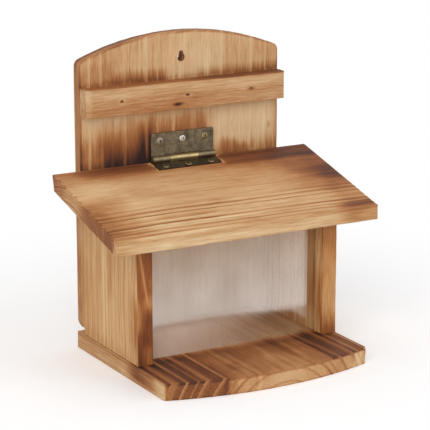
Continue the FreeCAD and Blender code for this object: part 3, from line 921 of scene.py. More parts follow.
class Plank:
    """A board that stands for a CAD node: a box of fine faces, shaped, worn and brushed."""

    node: str
    slot: str
    cells: ClassVar[Triple]
    body: ClassVar[str] = "box"
    rims: ClassVar[Tuple[Side, ...]]
    faces: ClassVar[Tuple[Side, ...]]
    wear: ClassVar[float] = 0.75

    def finish(self) -> FlamedFir:
        """The board's wood."""
        raise NotImplementedError

    def cuts(self) -> Places:
        """Places of the box's faces along X, Y and Z, in millimetres."""
        raise NotImplementedError

    def form(self, block: Block) -> np.ndarray:
        """Turns the box's points into the board's real outline."""
        return block.points

    def cutters(self) -> List[Cutter]:
        """What is cut out of the board."""
        return []

    def lattice(self) -> bpy.types.Object:
        """Makes the box, cut across in each direction.

        Returns:
            A box of quads whose points lie at the board's cuts.
        """
        start_afresh()
        bpy.ops.mesh.primitive_cube_add(size=1.0)
        made = bpy.context.object
        bpy.ops.object.mode_set(mode="EDIT")
        bpy.ops.mesh.select_mode(type="EDGE")
        for axis, places in enumerate(self.cuts()):
            bpy.ops.mesh.select_all(action="DESELECT")
            mesh = bmesh.from_edit_mesh(made.data)
            for edge in mesh.edges:
                reach = edge.verts[1].co[axis] - edge.verts[0].co[axis]
                edge.select = abs(reach) > LEVEL
            bmesh.update_edit_mesh(made.data)
            bpy.ops.mesh.subdivide(number_cuts=len(places) - 2)
        bpy.ops.object.mode_set(mode="OBJECT")
        return made

    def box_points(self, made: bpy.types.Object) -> Block:
        """Spreads the lattice's even points over the board's cuts.

        Args:
            made: the lattice.

        Returns:
            Its points and its two corners.
        """
        even = read_points(made) * MM + 0.5
        points = np.empty_like(even)
        cuts = self.cuts()
        for axis, places in enumerate(cuts):
            points[:, axis] = places[np.rint(even[:, axis] * (len(places) - 1)).astype(int)]
        return Block(points, [places[0] for places in cuts], [places[-1] for places in cuts])

    def worn_radius(self, points: np.ndarray) -> np.ndarray:
        """Radius of the worn edges, which wanders along the board.

        Args:
            points: a row for each point.

        Returns:
            A radius for each point.
        """
        x, y, z = points.T
        swing = 0.22 * np.sin(x * 0.13 + z * 0.09 + 0.7) + 0.16 * np.sin(y * 0.21 + x * 0.31)
        return self.wear * (1.0 + swing + 0.12 * np.sin(z * 0.37 + y * 0.11))

    def mark_rim(self, made: bpy.types.Object, block: Block) -> None:
        """Keeps how near each point is to a rim side, for the finish.

        Args:
            made: the board.
            block: its box of points.
        """
        inset = np.full(len(block.points), RIM_REACH)
        for side in self.rims:
            inset = np.minimum(inset, block.depth(side))
        held = made.data.attributes.new(RIM, "FLOAT", "POINT")
        held.data.foreach_set("value", RIM_REACH - inset)

    def brush(self, made: bpy.types.Object, wood: FlamedFir) -> None:
        """Sinks the soft wood between the hard lines.

        Args:
            made: the board at its real outline.
            wood: its finish.
        """
        points = read_points(made)
        normals = np.empty(len(points) * 3)
        made.data.vertices.foreach_get("normal", normals)
        depth = wood.groove(points)
        write_points(made, points - normals.reshape(-1, 3) * depth[:, None])

    def build(self) -> None:
        """Makes the board and puts it in its CAD node's place."""
        made = self.lattice()
        made.name = self.node + "_timber"
        made.data.name = made.name
        block = self.box_points(made)
        block.ease(self.rims, self.faces, self.worn_radius(block.points))
        self.mark_rim(made, block)
        write_points(made, self.form(block))
        wood = self.finish()
        self.brush(made, wood)
        cut_away(made, self.cutters())
        dress(made, wood.material(), BOARD_CREASE)
        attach(made, self.body)
        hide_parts(self.node)
        LOG.info("%s: %d faces", made.name, len(made.data.polygons))


UP: Triple = (0.0, 0.0, 1.0)
RIGHTWARD: Triple = (1.0, 0.0, 0.0)
BACKWARD: Triple = (0.0, 1.0, 0.0)
FORWARD: Triple = (0.0, -1.0, 0.0)

REAR_Y = 72.0
BOARD_FACE_Y = 62.0
BASE_TOP = 12.0
SLOPE = math.radians(14.45)
NAIL_HEAD_LENGTH = 2.04
NAIL_HEAD_WIDTH = 1.09
NAIL_SINK = 1.1
WALL_MIDDLE_X = 72.75


def nail_sinks(places: Sequence[Triple], upright: bool = False) -> List[Cutter]:
    """Pockets that the nails' heads lie in.

    Args:
        places: middle of each pocket's mouth on the board's face.
        upright: whether the nails stand, rather than run from front to back.

    Returns:
        A cutter for each nail.
    """
    width, reach = NAIL_HEAD_WIDTH, 2.0 * NAIL_SINK
    size = (NAIL_HEAD_LENGTH, width, reach) if upright else (NAIL_HEAD_LENGTH, reach, width)
    return [Cutter(place, size) for place in places]


@dataclass
class BackBoard(Plank):
    """Tall board with an arched top, rounded corners and the keyhole to hang it by."""

    node: str = "back_board"
    slot: str = "flamed_fir_upright"
    half_width: float = 79.0
    side_height: float = 193.5
    crown: float = 16.0
    foot_radius: float = 10.0
    shoulder_radius: float = 3.5
    keyhole_z: float = 203.0
    keyhole_radius: float = 3.0
    slot_radius: float = 1.7
    slot_rise: float = 3.1
    drill: float = 14.0
    wall_nail_z: Triple = (28.0, 66.0, 104.0)
    cells: ClassVar[Triple] = (0.66, 1.4, 4.5)
    rims: ClassVar[Tuple[Side, ...]] = (LEFT, RIGHT, TOP)
    faces: ClassVar[Tuple[Side, ...]] = (FRONT, REAR)

    def cuts(self) -> Places:
        """Cells that are fine across the grain and long along it.

        Returns:
            Places along X, Y and Z.
        """
        width, depth, height = self.cells
        return (steps(-self.half_width, self.half_width, width, EDGE_MARGINS),
                steps(BOARD_FACE_Y, REAR_Y, depth, EDGE_MARGINS),
                steps(0.0, self.side_height, height, arc_margins(self.foot_radius)))

    def form(self, block: Block) -> np.ndarray:
        """Rounds the corners and lifts the top to its arch.

        Args:
            block: the box.

        Returns:
            The board's points.
        """
        for side in (LEFT, RIGHT):
            block.round_corner(side, FOOT, self.foot_radius)
            block.round_corner(side, TOP, self.shoulder_radius)
        points = block.points
        radius = (self.half_width ** 2 + self.crown ** 2) / (2.0 * self.crown)
        arch = np.sqrt(radius ** 2 - points[:, 0] ** 2) - (radius - self.crown)
        points[:, 2] = BASE_TOP + points[:, 2] * (1.0 + arch / self.side_height)
        return points

    def cutters(self) -> List[Cutter]:
        """The keyhole and the pockets of the nails into the walls.

        Returns:
            The cutters.
        """
        middle = (BOARD_FACE_Y + REAR_Y) / 2.0
        wide, narrow = 2.0 * self.keyhole_radius, 2.0 * self.slot_radius
        # The slot's block keeps off the slot's round end, since faces in one plane stop a cut.
        block = (narrow - 0.04, self.drill, self.slot_rise - 0.3)
        keyhole = [
            Cutter((0.0, middle, self.keyhole_z), (wide, self.drill, wide), is_round=True),
            Cutter((0.0, middle, self.keyhole_z + self.slot_rise), (narrow, self.drill, narrow),
                   is_round=True),
            Cutter((0.0, middle, self.keyhole_z + self.slot_rise / 2.0), block),
        ]
        nails = [(side * WALL_MIDDLE_X, REAR_Y, z) for side in (-1.0, 1.0)
                 for z in self.wall_nail_z]
        return keyhole + nail_sinks(nails)

    def finish(self) -> FlamedFir:
        """Upright grain, scorched above the roof and to the left of the hinge.

        Returns:
            The board's wood.
        """
        thickness = REAR_Y - BOARD_FACE_Y
        face = (None, 2.0 - thickness)
        hidden = (-thickness / 2.0, None)
        bored = (1.2 - thickness, -0.6)
        return FlamedFir(
            name="flamed_fir_back_board",
            axes=Axes((0.0, REAR_Y, 0.0), RIGHTWARD, UP, BACKWARD),
            grain=Grain(pith=(-432.0, 1130.0), ring=4.5, phase=0.35, sway=0.5, early=0.66,
                        knots=(Knot(72.0, 148.0, 1.6, 2.4, 0.2, 0.22),)),
            light=0.77, late_tone=0.08, keep=0.5, bands=0.13, streaks=0.15, blotches=0.14,
            relief=0.10, seed=3.0, reach=6.0, rim_tone=-0.32, bleach=0.3,
            burns_and_painted_light=(
                # Flames that rose from the lid.
                Patch(0.24, (-66.0, -24.0), (118.0, 158.0), 2.5, 6.0, face),
                Patch(0.26, (-65.0, -22.0), (118.0, 150.0), 3.0, 7.0, face),
                Patch(0.26, (-60.0, -24.0), (118.0, 141.0), 5.0, 6.0, face),
                Patch(0.34, (None, -66.0), (118.0, 150.0), 2.5, 10.0, face),
                Patch(0.22, (-34.0, 22.0), (118.0, 161.5), 3.0, 4.0, face),
                Patch(0.18, (-30.0, 20.0), (118.0, 155.0), 3.0, 4.0, face),
                Patch(0.26, (31.0, 44.0), (118.0, 139.0), 2.5, 3.0, face),
                Patch(0.17, (44.0, 58.0), (118.0, 136.0), 3.0, 3.0, face),
                Patch(0.19, ALL, (118.0, 134.0), 3.0, 4.0, face),
                Patch(0.16, (66.0, None), (118.0, 142.0), 5.0, 8.0, face),
                # Scorched above the batten, with painted shade in the crease along its top.
                Patch(0.34, (-54.0, -12.0), (186.0, 195.0), 5.0, 4.0, face),
                Patch(0.22, (None, -54.0), (186.0, 200.0), 6.0, 7.0, face),
                Patch(0.16, (14.0, None), (186.0, 194.0), 6.0, 3.0, face),
                # Painted shade in the crease where the batten meets the board, over the scorching.
                Patch(0.20, ALL, (186.0, 190.5), 3.0, 2.0, face),
                Patch(0.10, (34.0, None), (186.0, 212.0), 8.0, 8.0, face),
                Patch(0.10, (-76.0, -40.0), (198.0, None), 8.0, 6.0, face),
                # Paler under the batten and behind the panel.
                Patch(-0.15, (26.0, 74.0), (139.0, 166.0), 4.0, 5.0, face),
                Patch(-0.08, (-76.0, -34.0), (161.0, 168.0), 4.0, 3.0, face),
                Patch(-0.10, ALL, (None, 118.0), 3.0, 6.0, face),
                # Painted shade inside the keyhole's bore.
                Patch(0.40, (-3.6, 3.6), (190.0, 217.0), 0.4, 1.5, bored),
                # The rear.
                Patch(0.34, ALL, (204.0, None), 9.0, 26.0, hidden),
                Patch(0.42, (-56.0, -4.0), (36.0, 78.0), 26.0, 36.0, hidden),
                Patch(0.34, (32.0, 64.0), (98.0, 138.0), 24.0, 38.0, hidden),
            ),
        )


@dataclass
class BaseBoard(Plank):
    """Floor of the box, whose convex front sticks out as a porch."""

    node: str = "base_board"
    slot: str = "flamed_fir_dark"
    half_width: float = 79.5
    side_depth: float = 131.0
    bulge: float = 13.0
    thickness: float = 12.0
    corner_radius: float = 2.5
    wall_nail_y: Triple = (35.7, 14.6, -6.5)
    foot_nail_x: Triple = (-52.0, 0.0, 52.0)
    cells: ClassVar[Triple] = (0.62, 4.0, 1.2)
    rims: ClassVar[Tuple[Side, ...]] = (LEFT, RIGHT, FRONT)
    faces: ClassVar[Tuple[Side, ...]] = (TOP,)

    def cuts(self) -> Places:
        """Cells that are fine across the grain and long along it.

        Returns:
            Places along X, Y and Z.
        """
        width, depth, height = self.cells
        return (steps(-self.half_width, self.half_width, width, EDGE_MARGINS),
                steps(-self.side_depth, 0.0, depth, arc_margins(self.corner_radius)),
                steps(0.0, self.thickness, height, EDGE_MARGINS))

    def form(self, block: Block) -> np.ndarray:
        """Rounds the porch's corners and bends its front.

        Args:
            block: the box.

        Returns:
            The board's points.
        """
        for side in (LEFT, RIGHT):
            block.round_corner(side, FRONT, self.corner_radius)
        points = block.points
        radius = (self.half_width ** 2 + self.bulge ** 2) / (2.0 * self.bulge)
        bulge = np.sqrt(radius ** 2 - points[:, 0] ** 2) - (radius - self.bulge)
        points[:, 1] = REAR_Y + points[:, 1] * (1.0 + bulge / self.side_depth)
        return points

    def cutters(self) -> List[Cutter]:
        """The pockets of the nails that come up from below.

        Returns:
            The cutters.
        """
        nails = [(side * WALL_MIDDLE_X, y, 0.0) for side in (-1.0, 1.0)
                 for y in self.wall_nail_y]
        nails += [(x, (BOARD_FACE_Y + REAR_Y) / 2.0, 0.0) for x in self.foot_nail_x]
        return nail_sinks(nails, upright=True)

    def finish(self) -> FlamedFir:
        """Grain from front to back, burnt dark on the porch, with bold ridges at both sides.

        Returns:
            The board's wood.
        """
        return FlamedFir(
            name="flamed_fir_base_board",
            axes=Axes((0.0, REAR_Y, BASE_TOP), RIGHTWARD, FORWARD, UP),
            grain=Grain(pith=(6.0, -40.0), ring=7.0, phase=0.2, sway=0.7, early=0.5),
            light=0.72, late_tone=0.05, keep=0.8, bands=0.18, streaks=0.34, blotches=0.2,
            relief=0.42, seed=8.0, reach=8.0, wander=4.0, end_late=-0.26,
            lines=(
                Patch(0.35),
                Patch(0.65, (None, -34.0), ALL, 5.0),
                Patch(0.65, (44.0, None), ALL, 3.0),
            ),
            burns_and_painted_light=(
                # The porch as a whole; then painted light on the floor inside, which lies in the
                # box's shade.
                Patch(0.18, (-78.6, 78.6), (82.0, None), 0.6, 6.0),
                Patch(-0.18, (-66.0, 66.0), (None, 80.0), 2.0, 4.0),
                # Both sides of the porch.
                Patch(-0.17, (67.0, 75.0), (80.0, None), 2.0, 6.0),
                Patch(0.43, (-78.0, -36.0), (80.0, None), 2.0, 8.0),
                Patch(0.38, (45.5, None), (80.0, None), 1.0, 8.0, (-1.6, None)),
                Patch(0.06, (45.5, None), (80.0, None), 6.0, 8.0),
                # The porch between them, with its streaks.
                Patch(0.05, (-36.0, 45.0), (80.0, None), 6.0, 6.0),
                Patch(0.10, (-36.0, 45.0), (84.0, 110.0), 8.0, 8.0),
                Patch(0.14, (24.0, 31.0), (80.0, 124.0), 2.0, 8.0),
                Patch(0.12, (-39.0, -31.0), (80.0, None), 2.0, 8.0),
                Patch(0.14, (None, -66.0), (80.0, 104.0), 2.0, 8.0),
                Patch(0.10, (8.0, 20.0), (116.0, 130.0), 4.0, 3.0, lean=0.3),
                Patch(-0.10, (-15.5, -12.5), (90.0, None), 0.8, 4.0),
                Patch(0.1, ALL, (86.0, 95.0), 3.0, 4.0),
                # The edges and the underside.
                Patch(-0.24, ALL, ALL, 2.5, 4.0, (None, -2.0)),
                Patch(-0.08, (-30.0, None), (116.0, None), 4.0, 4.0, (None, -1.0)),
                Patch(0.30, ALL, (None, 116.0), 2.5, 6.0, (None, -1.0)),
                Patch(0.16, ALL, ALL, 2.5, 4.0, (None, -11.3)),
            ),
        )


@dataclass
class SideWall(Plank):
    """Side wall with a sloping top and a groove for the panel."""

    node: str
    sign: float
    phase: float
    slot: str = "flamed_fir_upright"
    outer: float = 78.5
    inner: float = 67.0
    front_y: float = -20.5
    rear_height: float = 108.0
    groove_front: float = -10.2
    groove_rear: float = -7.8
    groove_depth: float = 3.5
    groove_overrun: float = 1.2
    cells: ClassVar[Triple] = (1.2, 0.6, 4.5)
    rims: ClassVar[Tuple[Side, ...]] = (FRONT,)
    faces: ClassVar[Tuple[Side, ...]] = (LEFT, RIGHT)

    def cuts(self) -> Places:
        """Cells that are fine across the grain and long along it.

        Returns:
            Places along X, Y and Z.
        """
        width, depth, height = self.cells
        low, high = sorted((self.sign * self.inner, self.sign * self.outer))
        return (steps(low, high, width, EDGE_MARGINS),
                steps(self.front_y, BOARD_FACE_Y, depth, EDGE_MARGINS),
                steps(0.0, self.rear_height, height, SAWN_MARGINS))

    def form(self, block: Block) -> np.ndarray:
        """Slopes the top.

        Args:
            block: the box.

        Returns:
            The board's points.
        """
        points = block.points
        height = self.rear_height - (BOARD_FACE_Y - points[:, 1]) * math.tan(SLOPE)
        points[:, 2] = BASE_TOP + points[:, 2] * height / self.rear_height
        return points

    def cutters(self) -> List[Cutter]:
        """The panel's groove, cut right through the wall's top.

        Returns:
            The cutters.
        """
        middle = (self.groove_front + self.groove_rear) / 2.0
        width = self.groove_rear - self.groove_front
        size = (2.0 * self.groove_depth, width, 2.0 * self.groove_overrun * self.rear_height)
        return [Cutter((self.sign * self.inner, middle, BASE_TOP), size)]

    def finish(self) -> FlamedFir:
        """Upright grain in even lines, darker along the front edge.

        Returns:
            The board's wood.
        """
        outward: Triple = (self.sign, 0.0, 0.0)
        front = BOARD_FACE_Y - self.front_y
        edge = (front - 1.5, None)
        dark, foot_burn = 0.38, 0.10
        pale_line = Patch(-0.18, edge, (20.0, 70.0), 0.8, 10.0)
        if self.sign < 0:
            dark, foot_burn = 0.58, 0.12
            pale_line = Patch(-0.32, edge, (56.0, 92.0), 0.8, 6.0, (60.4, 62.4), slant=-0.171)
        return FlamedFir(
            name=f"flamed_fir_{self.node}",
            axes=Axes((0.0, BOARD_FACE_Y, 0.0), FORWARD, UP, outward),
            grain=Grain(pith=(-160.0, 20.0), ring=5.1, phase=self.phase, sway=0.8, knots=(
                Knot(71.0, 52.0, 6.0, 13.0, 0.5, 0.0),
            )),
            light=0.90, late_tone=-0.26, keep=0.35, bands=0.17, streaks=0.24, blotches=0.08,
            tint=(255, 245, 229),
            relief=0.16, seed=14.0 + self.sign, reach=8.0,
            lines=(
                Patch(1.0, (None, front - 1.2), ALL, 0.6),
                Patch(0.3, (front - 1.2, None), ALL, 0.6),
            ),
            burns_and_painted_light=(
                # Edges and ends.
                Patch(0.09, (None, 7.0), ALL, 3.0),
                # Painted shade at the top of the wall near the rear, under the roof.
                Patch(0.10, ALL, (106.0, None), 3.0, 5.0),
                Patch(dark, edge, ALL, 0.8),
                Patch(foot_burn, edge, (None, 26.0), 0.8, 6.0),
                # The inner face, then streaks up the outer one.
                Patch(-0.10, (None, 70.0), ALL, 2.0, 6.0, (None, self.inner + 1.5)),
                Patch(0.08, (7.0, 13.0), (50.0, None), 2.0, 14.0),
                Patch(-0.12, (26.0, 32.0), ALL, 2.0),
                Patch(0.14, (38.0, 46.0), (50.0, 84.0), 2.0, 10.0),
                Patch(-0.10, (64.0, 72.0), (40.0, None), 2.0, 12.0),
                Patch(0.1, ALL, (None, 18.0), 3.0, 4.0),
                Patch(0.16, (67.0, front - 1.5), (22.0, 60.0), 4.0, 8.0),
                Patch(0.24, (76.0, front - 1.5), (20.0, 52.0), 2.0, 8.0),
                pale_line,
            ),
        )


@dataclass
class StopBatten(Plank):
    """Strip across the back board that stops the opened lid."""

    node: str = "stop_batten"
    slot: str = "flamed_fir_level"
    half_length: float = 79.0
    front_y: float = 52.8
    foot_z: float = 167.9
    height: float = 20.0
    nail_x: Triple = (-51.5, 0.0, 51.5)
    cells: ClassVar[Triple] = (4.5, 1.0, 0.6)
    rims: ClassVar[Tuple[Side, ...]] = (LEFT, RIGHT, TOP, FOOT)
    faces: ClassVar[Tuple[Side, ...]] = (FRONT,)
    wear: ClassVar[float] = 0.6

    def cuts(self) -> Places:
        """Cells that are fine across the grain and long along it.

        Returns:
            Places along X, Y and Z.
        """
        width, depth, height = self.cells
        return (steps(-self.half_length, self.half_length, width, EDGE_MARGINS),
                steps(self.front_y, BOARD_FACE_Y, depth, EDGE_MARGINS),
                steps(self.foot_z, self.foot_z + self.height, height, EDGE_MARGINS))

    def cutters(self) -> List[Cutter]:
        """The pockets of the three nails."""
        middle = self.foot_z + self.height / 2.0
        return nail_sinks([(x, self.front_y, middle) for x in self.nail_x])

    def finish(self) -> FlamedFir:
        """Level grain, lightly scorched, with a resin pocket; its top face is darker from
        scorching and from painted shade.

        Returns:
            The board's wood.
        """
        return FlamedFir(
            name="flamed_fir_stop_batten",
            axes=Axes((0.0, self.front_y, self.foot_z), UP, RIGHTWARD, BACKWARD),
            grain=Grain(pith=(-14.0, 60.0), ring=5.2, phase=0.6, sway=1.6, knots=(
                Knot(3.9, -7.8, 1.0, 2.9, 0.15, 0.75),
                Knot(10.0, -51.5, 2.4, 2.6, 0.0, -0.13),
                Knot(10.0, -51.5, 1.0, 1.2, 0.0, 0.5),
                Knot(10.0, 0.0, 2.0, 2.2, 0.0, -0.12),
                Knot(10.0, 0.0, 1.0, 1.3, 0.0, 0.6),
                Knot(9.4, 51.5, 1.1, 3.4, 0.3, 0.3),
            )),
            light=0.68, late_tone=-0.10, keep=0.4, bands=0.12, streaks=0.22, blotches=0.06,
            relief=0.10, seed=21.0, reach=10.0, wander=1.5, bleach=0.4,
            burns_and_painted_light=(
                Patch(0.1, (None, 6.0), (None, 10.0), 3.0, 20.0),
                # The top face: scorching, with painted shade over it.
                Patch(0.30, (19.3, None), ALL, 0.5),
                Patch(0.22, (19.1, None), (10.0, None), 0.8, 14.0),
                Patch(-0.12, ALL, (None, -75.0), 3.0, 2.0),
                Patch(-0.05, (12.0, 18.0), ALL, 3.0, 2.0),
            ),
        )


@dataclass
class RoofBoard(Plank):
    """Sloping lid, plumb at the front, undercut at the rear and let in for the hinge's leaf."""

    node: str = "roof_board"
    slot: str = "flamed_fir_level"
    half_width: float = 101.75
    length: float = 99.5
    thickness: float = 10.7
    undercut: float = 2.6
    edge_y: float = 60.3
    edge_z: float = 130.608
    mortise_half: float = 26.0
    mortise_front: float = 12.84
    mortise_depth: float = 0.7
    mortise_overrun: float = 2.0
    cells: ClassVar[Triple] = (4.6, 0.58, 1.1)
    body: ClassVar[str] = "lid"
    rims: ClassVar[Tuple[Side, ...]] = (LEFT, RIGHT, FRONT)
    faces: ClassVar[Tuple[Side, ...]] = (TOP, FOOT)
    wear: ClassVar[float] = 0.8

    def cuts(self) -> Places:
        """Cells that are fine across the grain and long along it.

        Returns:
            Places along X, Y and Z.
        """
        width, length, height = self.cells
        return (steps(-self.half_width, self.half_width, width, EDGE_MARGINS),
                steps(-self.length, 0.0, length, EDGE_MARGINS),
                steps(-self.thickness, 0.0, height, EDGE_MARGINS))

    def form(self, block: Block) -> np.ndarray:
        """Leans the front and rear, then tilts the board to its slope.

        Args:
            block: the box.

        Returns:
            The board's points.
        """
        x, y, z = block.points.T
        lean = z * math.tan(SLOPE)
        rear = z / self.thickness * (self.undercut / math.cos(SLOPE)) + lean
        front = -self.length + lean
        run = rear + (front - rear) * (-y / self.length)
        return np.column_stack([
            x,
            self.edge_y + run * math.cos(SLOPE) - z * math.sin(SLOPE),
            self.edge_z + run * math.sin(SLOPE) + z * math.cos(SLOPE),
        ])

    def cutters(self) -> List[Cutter]:
        """The recess for the hinge's leaf, cut out past the rear edge.

        Returns:
            The cutters.
        """
        run = -self.mortise_front / 2.0 + self.mortise_overrun
        centre = (0.0, self.edge_y + run * math.cos(SLOPE), self.edge_z + run * math.sin(SLOPE))
        length = self.mortise_front + 2.0 * self.mortise_overrun
        size = (2.0 * self.mortise_half, length, 2.0 * self.mortise_depth)
        return [Cutter(centre, size, tilt=math.degrees(SLOPE))]

    def finish(self) -> FlamedFir:
        """Level grain: brown along the rear, pale in the middle, dark lines along the front.

        Returns:
            The board's wood.
        """
        down: Triple = (0.0, -math.cos(SLOPE), -math.sin(SLOPE))
        lifted: Triple = (0.0, -math.sin(SLOPE), math.cos(SLOPE))
        return FlamedFir(
            name="flamed_fir_roof_board",
            axes=Axes((0.0, self.edge_y, self.edge_z), down, RIGHTWARD, lifted),
            grain=Grain(pith=(36.0, -58.0), ring=3.15, phase=0.75, sway=0.55),
            light=0.82, late_tone=-0.37, keep=0.45, bands=0.10, streaks=0.28, blotches=0.12,
            relief=0.24, seed=30.0, reach=6.0, sheltered=-self.thickness,
            end_tone=0.10,
            lines=(
                Patch(0.16),
                Patch(0.9, (62.0, 98.2), ALL, 7.0),
                Patch(0.25, (None, 14.0), ALL, 5.0),
            ),
            burns_and_painted_light=(
                # Along the rear edge.
                Patch(0.34, (None, 12.5), (-84.0, -26.0), 4.0, 8.0),
                Patch(0.10, (None, 8.0), (None, -84.0), 4.0, 8.0),
                Patch(0.18, (None, 20.0), ALL, 5.0, 8.0),
                Patch(0.10, (None, 42.0), (-60.0, None), 14.0, 16.0),
                Patch(0.18, (None, 16.0), (26.0, None), 4.0, 5.0),
                Patch(0.18, (None, 4.0), (26.0, None), 9.0, 10.0, lean=-0.5),
                # The right end.
                Patch(0.10, (None, 50.0), (66.0, None), 10.0, 12.0),
                Patch(0.12, (24.0, 68.0), (66.0, None), 8.0, 14.0),
                Patch(0.14, (12.0, 44.0), (84.0, None), 6.0, 8.0),
                Patch(0.14, (34.0, 66.0), (50.0, None), 8.0, 12.0),
                Patch(0.16, (44.0, 62.0), (84.0, None), 6.0, 7.0),
                Patch(0.36, (89.0, 98.4), (74.0, None), 2.0, 8.0),
                Patch(0.20, (64.0, 98.4), (78.0, None), 5.0, 9.0),
                # The left end.
                Patch(0.20, (44.0, 98.4), (None, -72.0), 8.0, 12.0),
                Patch(0.16, (50.0, 98.4), (None, -90.0), 6.0, 7.0),
                Patch(0.22, (None, 97.0), (None, -100.9), 1.0, 0.5),
                # The front edge: lighter from wear and a painted highlight, and darker towards its
                # right end.
                Patch(-0.07, (98.8, None), (-90.0, 74.0), 0.5, 8.0),
                Patch(-0.08, (98.8, None), (-98.0, -60.0), 0.5, 6.0),
                Patch(0.12, (98.8, None), (74.0, None), 0.5, 8.0),
                # Pale lines, and the mortise's ends.
                Patch(-0.12, (85.5, 90.5), (-90.0, 20.0), 1.2, 14.0),
                Patch(-0.10, (78.5, 81.5), (None, 70.0), 1.0, 14.0),
                Patch(-0.05, (20.0, 36.0), (-90.0, -64.0), 6.0, 10.0),
                Patch(-0.30, (None, 13.6), (-27.2, -24.6), 0.4, 0.3),
                Patch(-0.30, (None, 13.6), (24.6, 27.2), 0.4, 0.3),
            ),
        )


PIN_Y = 59.4
PIN_Z = 132.342

DULL_BRASS = ((0.0, (52, 45, 35)), (0.35, (90, 80, 63)), (0.65, (126, 113, 90)),
              (1.0, (170, 155, 126)))
BRIGHT_BRASS = ((0.0, (132, 113, 76)), (0.5, (182, 160, 112)), (1.0, (228, 210, 164)))


@dataclass(frozen=True)
class AgedBrass:
    """Brass that was darkened, dull and mottled, and rubbed bright where the lid wears it."""

    name: str
    rubbed: float
    # Painted shade and painted reflection: a darker tone for the shade under the knuckle and the
    # dark board that the leaf mirrors.
    shade: float = 0.0
    knuckle_radius: float = 2.34
    knuckle_fade: float = 0.26

    def material(self) -> bpy.types.Material:
        """Builds the finish's material, which is rubbed near the hinge's axis.

        Returns:
            The material.
        """
        shader = Shader(self.name)
        x, y, z = shader.millimetres()
        reach = root((y - PIN_Y) * (y - PIN_Y) + (z - PIN_Z) * (z - PIN_Z))
        mottle = shader.noise(x / 1.7, y / 1.7, z / 1.7, 4.0, 0.62) - 0.5
        clouds = shader.noise(x / 6.0 + 7.0, y / 6.0, z / 6.0, 2.0) - 0.5
        scratch = shader.noise(x / 7.0, y / 0.5 + 3.0, z / 0.5, 2.0) - 0.5
        near = 1.0 - smooth(reach, self.knuckle_radius, self.knuckle_radius + self.knuckle_fade)
        tone = hold(0.5 - self.shade + mottle * 0.8 + clouds * 0.9)
        dull = shader.ramp(tone, DULL_BRASS)
        bright = shader.ramp(hold(0.55 + scratch * 0.8), BRIGHT_BRASS)
        rub = hold(near * self.rubbed * (0.85 + mottle * 0.9))
        return shader.finish({
            "Base Color": shader.blend(rub, dull, bright),
            "Metallic": 0.85,
            "Roughness": 0.46 + mottle * 0.25 - rub * 0.16,
            "Normal": shader.bump(0.5 + mottle * 0.7 + scratch * 0.3, 0.06 * MM, 0.6),
        })


class Metal(Enum):
    """Plain metals of the fasteners: dark colour, light colour, roughness."""

    ZINC = ((150, 142, 132), (224, 218, 206), 0.3)
    DULLED = ((112, 100, 90), (188, 172, 158), 0.4)
    BRONZED = ((100, 87, 62), (172, 153, 114), 0.42)
    NAIL = ((44, 38, 34), (96, 88, 80), 0.5)
    PIN = ((120, 108, 82), (190, 176, 140), 0.34)


@dataclass(frozen=True)
class FastenerMetal:
    """Turned or drawn metal with fine wear."""

    name: str
    metal: Metal

    def material(self) -> bpy.types.Material:
        """Builds the finish's material.

        Returns:
            The material.
        """
        dark, light, roughness = self.metal.value
        shader = Shader(self.name)
        x, y, z = shader.millimetres()
        wear = shader.noise(x / 0.9, y / 0.9, z / 0.9, 3.0, 0.6) - 0.5
        colour = shader.ramp(hold(0.6 + wear * 1.4), ((0.0, dark), (1.0, light)))
        return shader.finish({
            "Base Color": colour,
            "Metallic": 0.9,
            "Roughness": roughness + wear * 0.3,
            "Normal": shader.bump(0.5 + wear, 0.03 * MM, 0.5),
        })


@dataclass(frozen=True)
class ClearSheet:
    """Clear plastic under a faint haze, with a painted reflection that is heavier low down,
    thinner at the foot and milky at the foot of its left half.
    """

    name: str = "clear_acrylic_sheet"
    # Strength of the real haze together with the painted reflection; the fields below shape and
    # colour the painted reflection.
    haze_and_reflection: float = 0.29
    lower_half: Tuple[float, float] = (44.0, 100.0)
    foot: Tuple[float, float] = (28.0, 36.0)
    left_half: Tuple[float, float] = (-50.0, 45.0)
    middle: Tuple[float, float] = (-60.0, 60.0)
    cool: Tuple[Triple, Triple] = ((242, 233, 226), (252, 247, 241))
    warm: Triple = (246, 222, 198)
    foot_left_reflection_colour: Triple = (248, 227, 208)

    def material(self) -> bpy.types.Material:
        """Builds the finish's material.

        Returns:
            The material.
        """
        shader = Shader(self.name)
        x, y, z = shader.millimetres()
        haze = shader.noise(x / 26.0, y / 26.0, z / 40.0, 2.0) - 0.5
        scuffs = shader.noise(x / 0.9, y / 0.9, z / 22.0, 3.0) - 0.5
        # Painted reflection over the real haze: heavier in the lower half, thinner at the foot,
        # milky and matt at the foot of the left half, heavier towards the right.
        lower = 1.0 - smooth(z, *self.lower_half)
        foot = 1.0 - smooth(z, *self.foot)
        foot_left_reflection = foot * (1.0 - smooth(x, *self.left_half))
        slope = 0.84 + 0.28 * smooth(x, *self.middle)
        haze_and_reflection_alpha = self.haze_and_reflection * slope * (0.5 + 0.6 * lower) * (1.0 - foot * 0.7 + foot_left_reflection * 1.3)
        cool = shader.ramp(hold(0.5 + haze), tuple(zip((0.0, 1.0), self.cool)))
        warm = shader.blend(hold(lower * 0.8), linear(self.warm), cool)
        colour = shader.blend(foot_left_reflection, warm, linear(self.foot_left_reflection_colour))
        made = shader.finish({
            "Base Color": colour,
            "Metallic": 1.0 - foot_left_reflection * 0.85,
            "Roughness": 0.1 + haze * 0.06 + scuffs * 0.04 + foot_left_reflection * 0.3,
            "Alpha": hold(haze_and_reflection_alpha * (1.0 + haze * 0.9 + scuffs * 0.2)),
        })
        made.surface_render_method = "BLENDED"
        return made


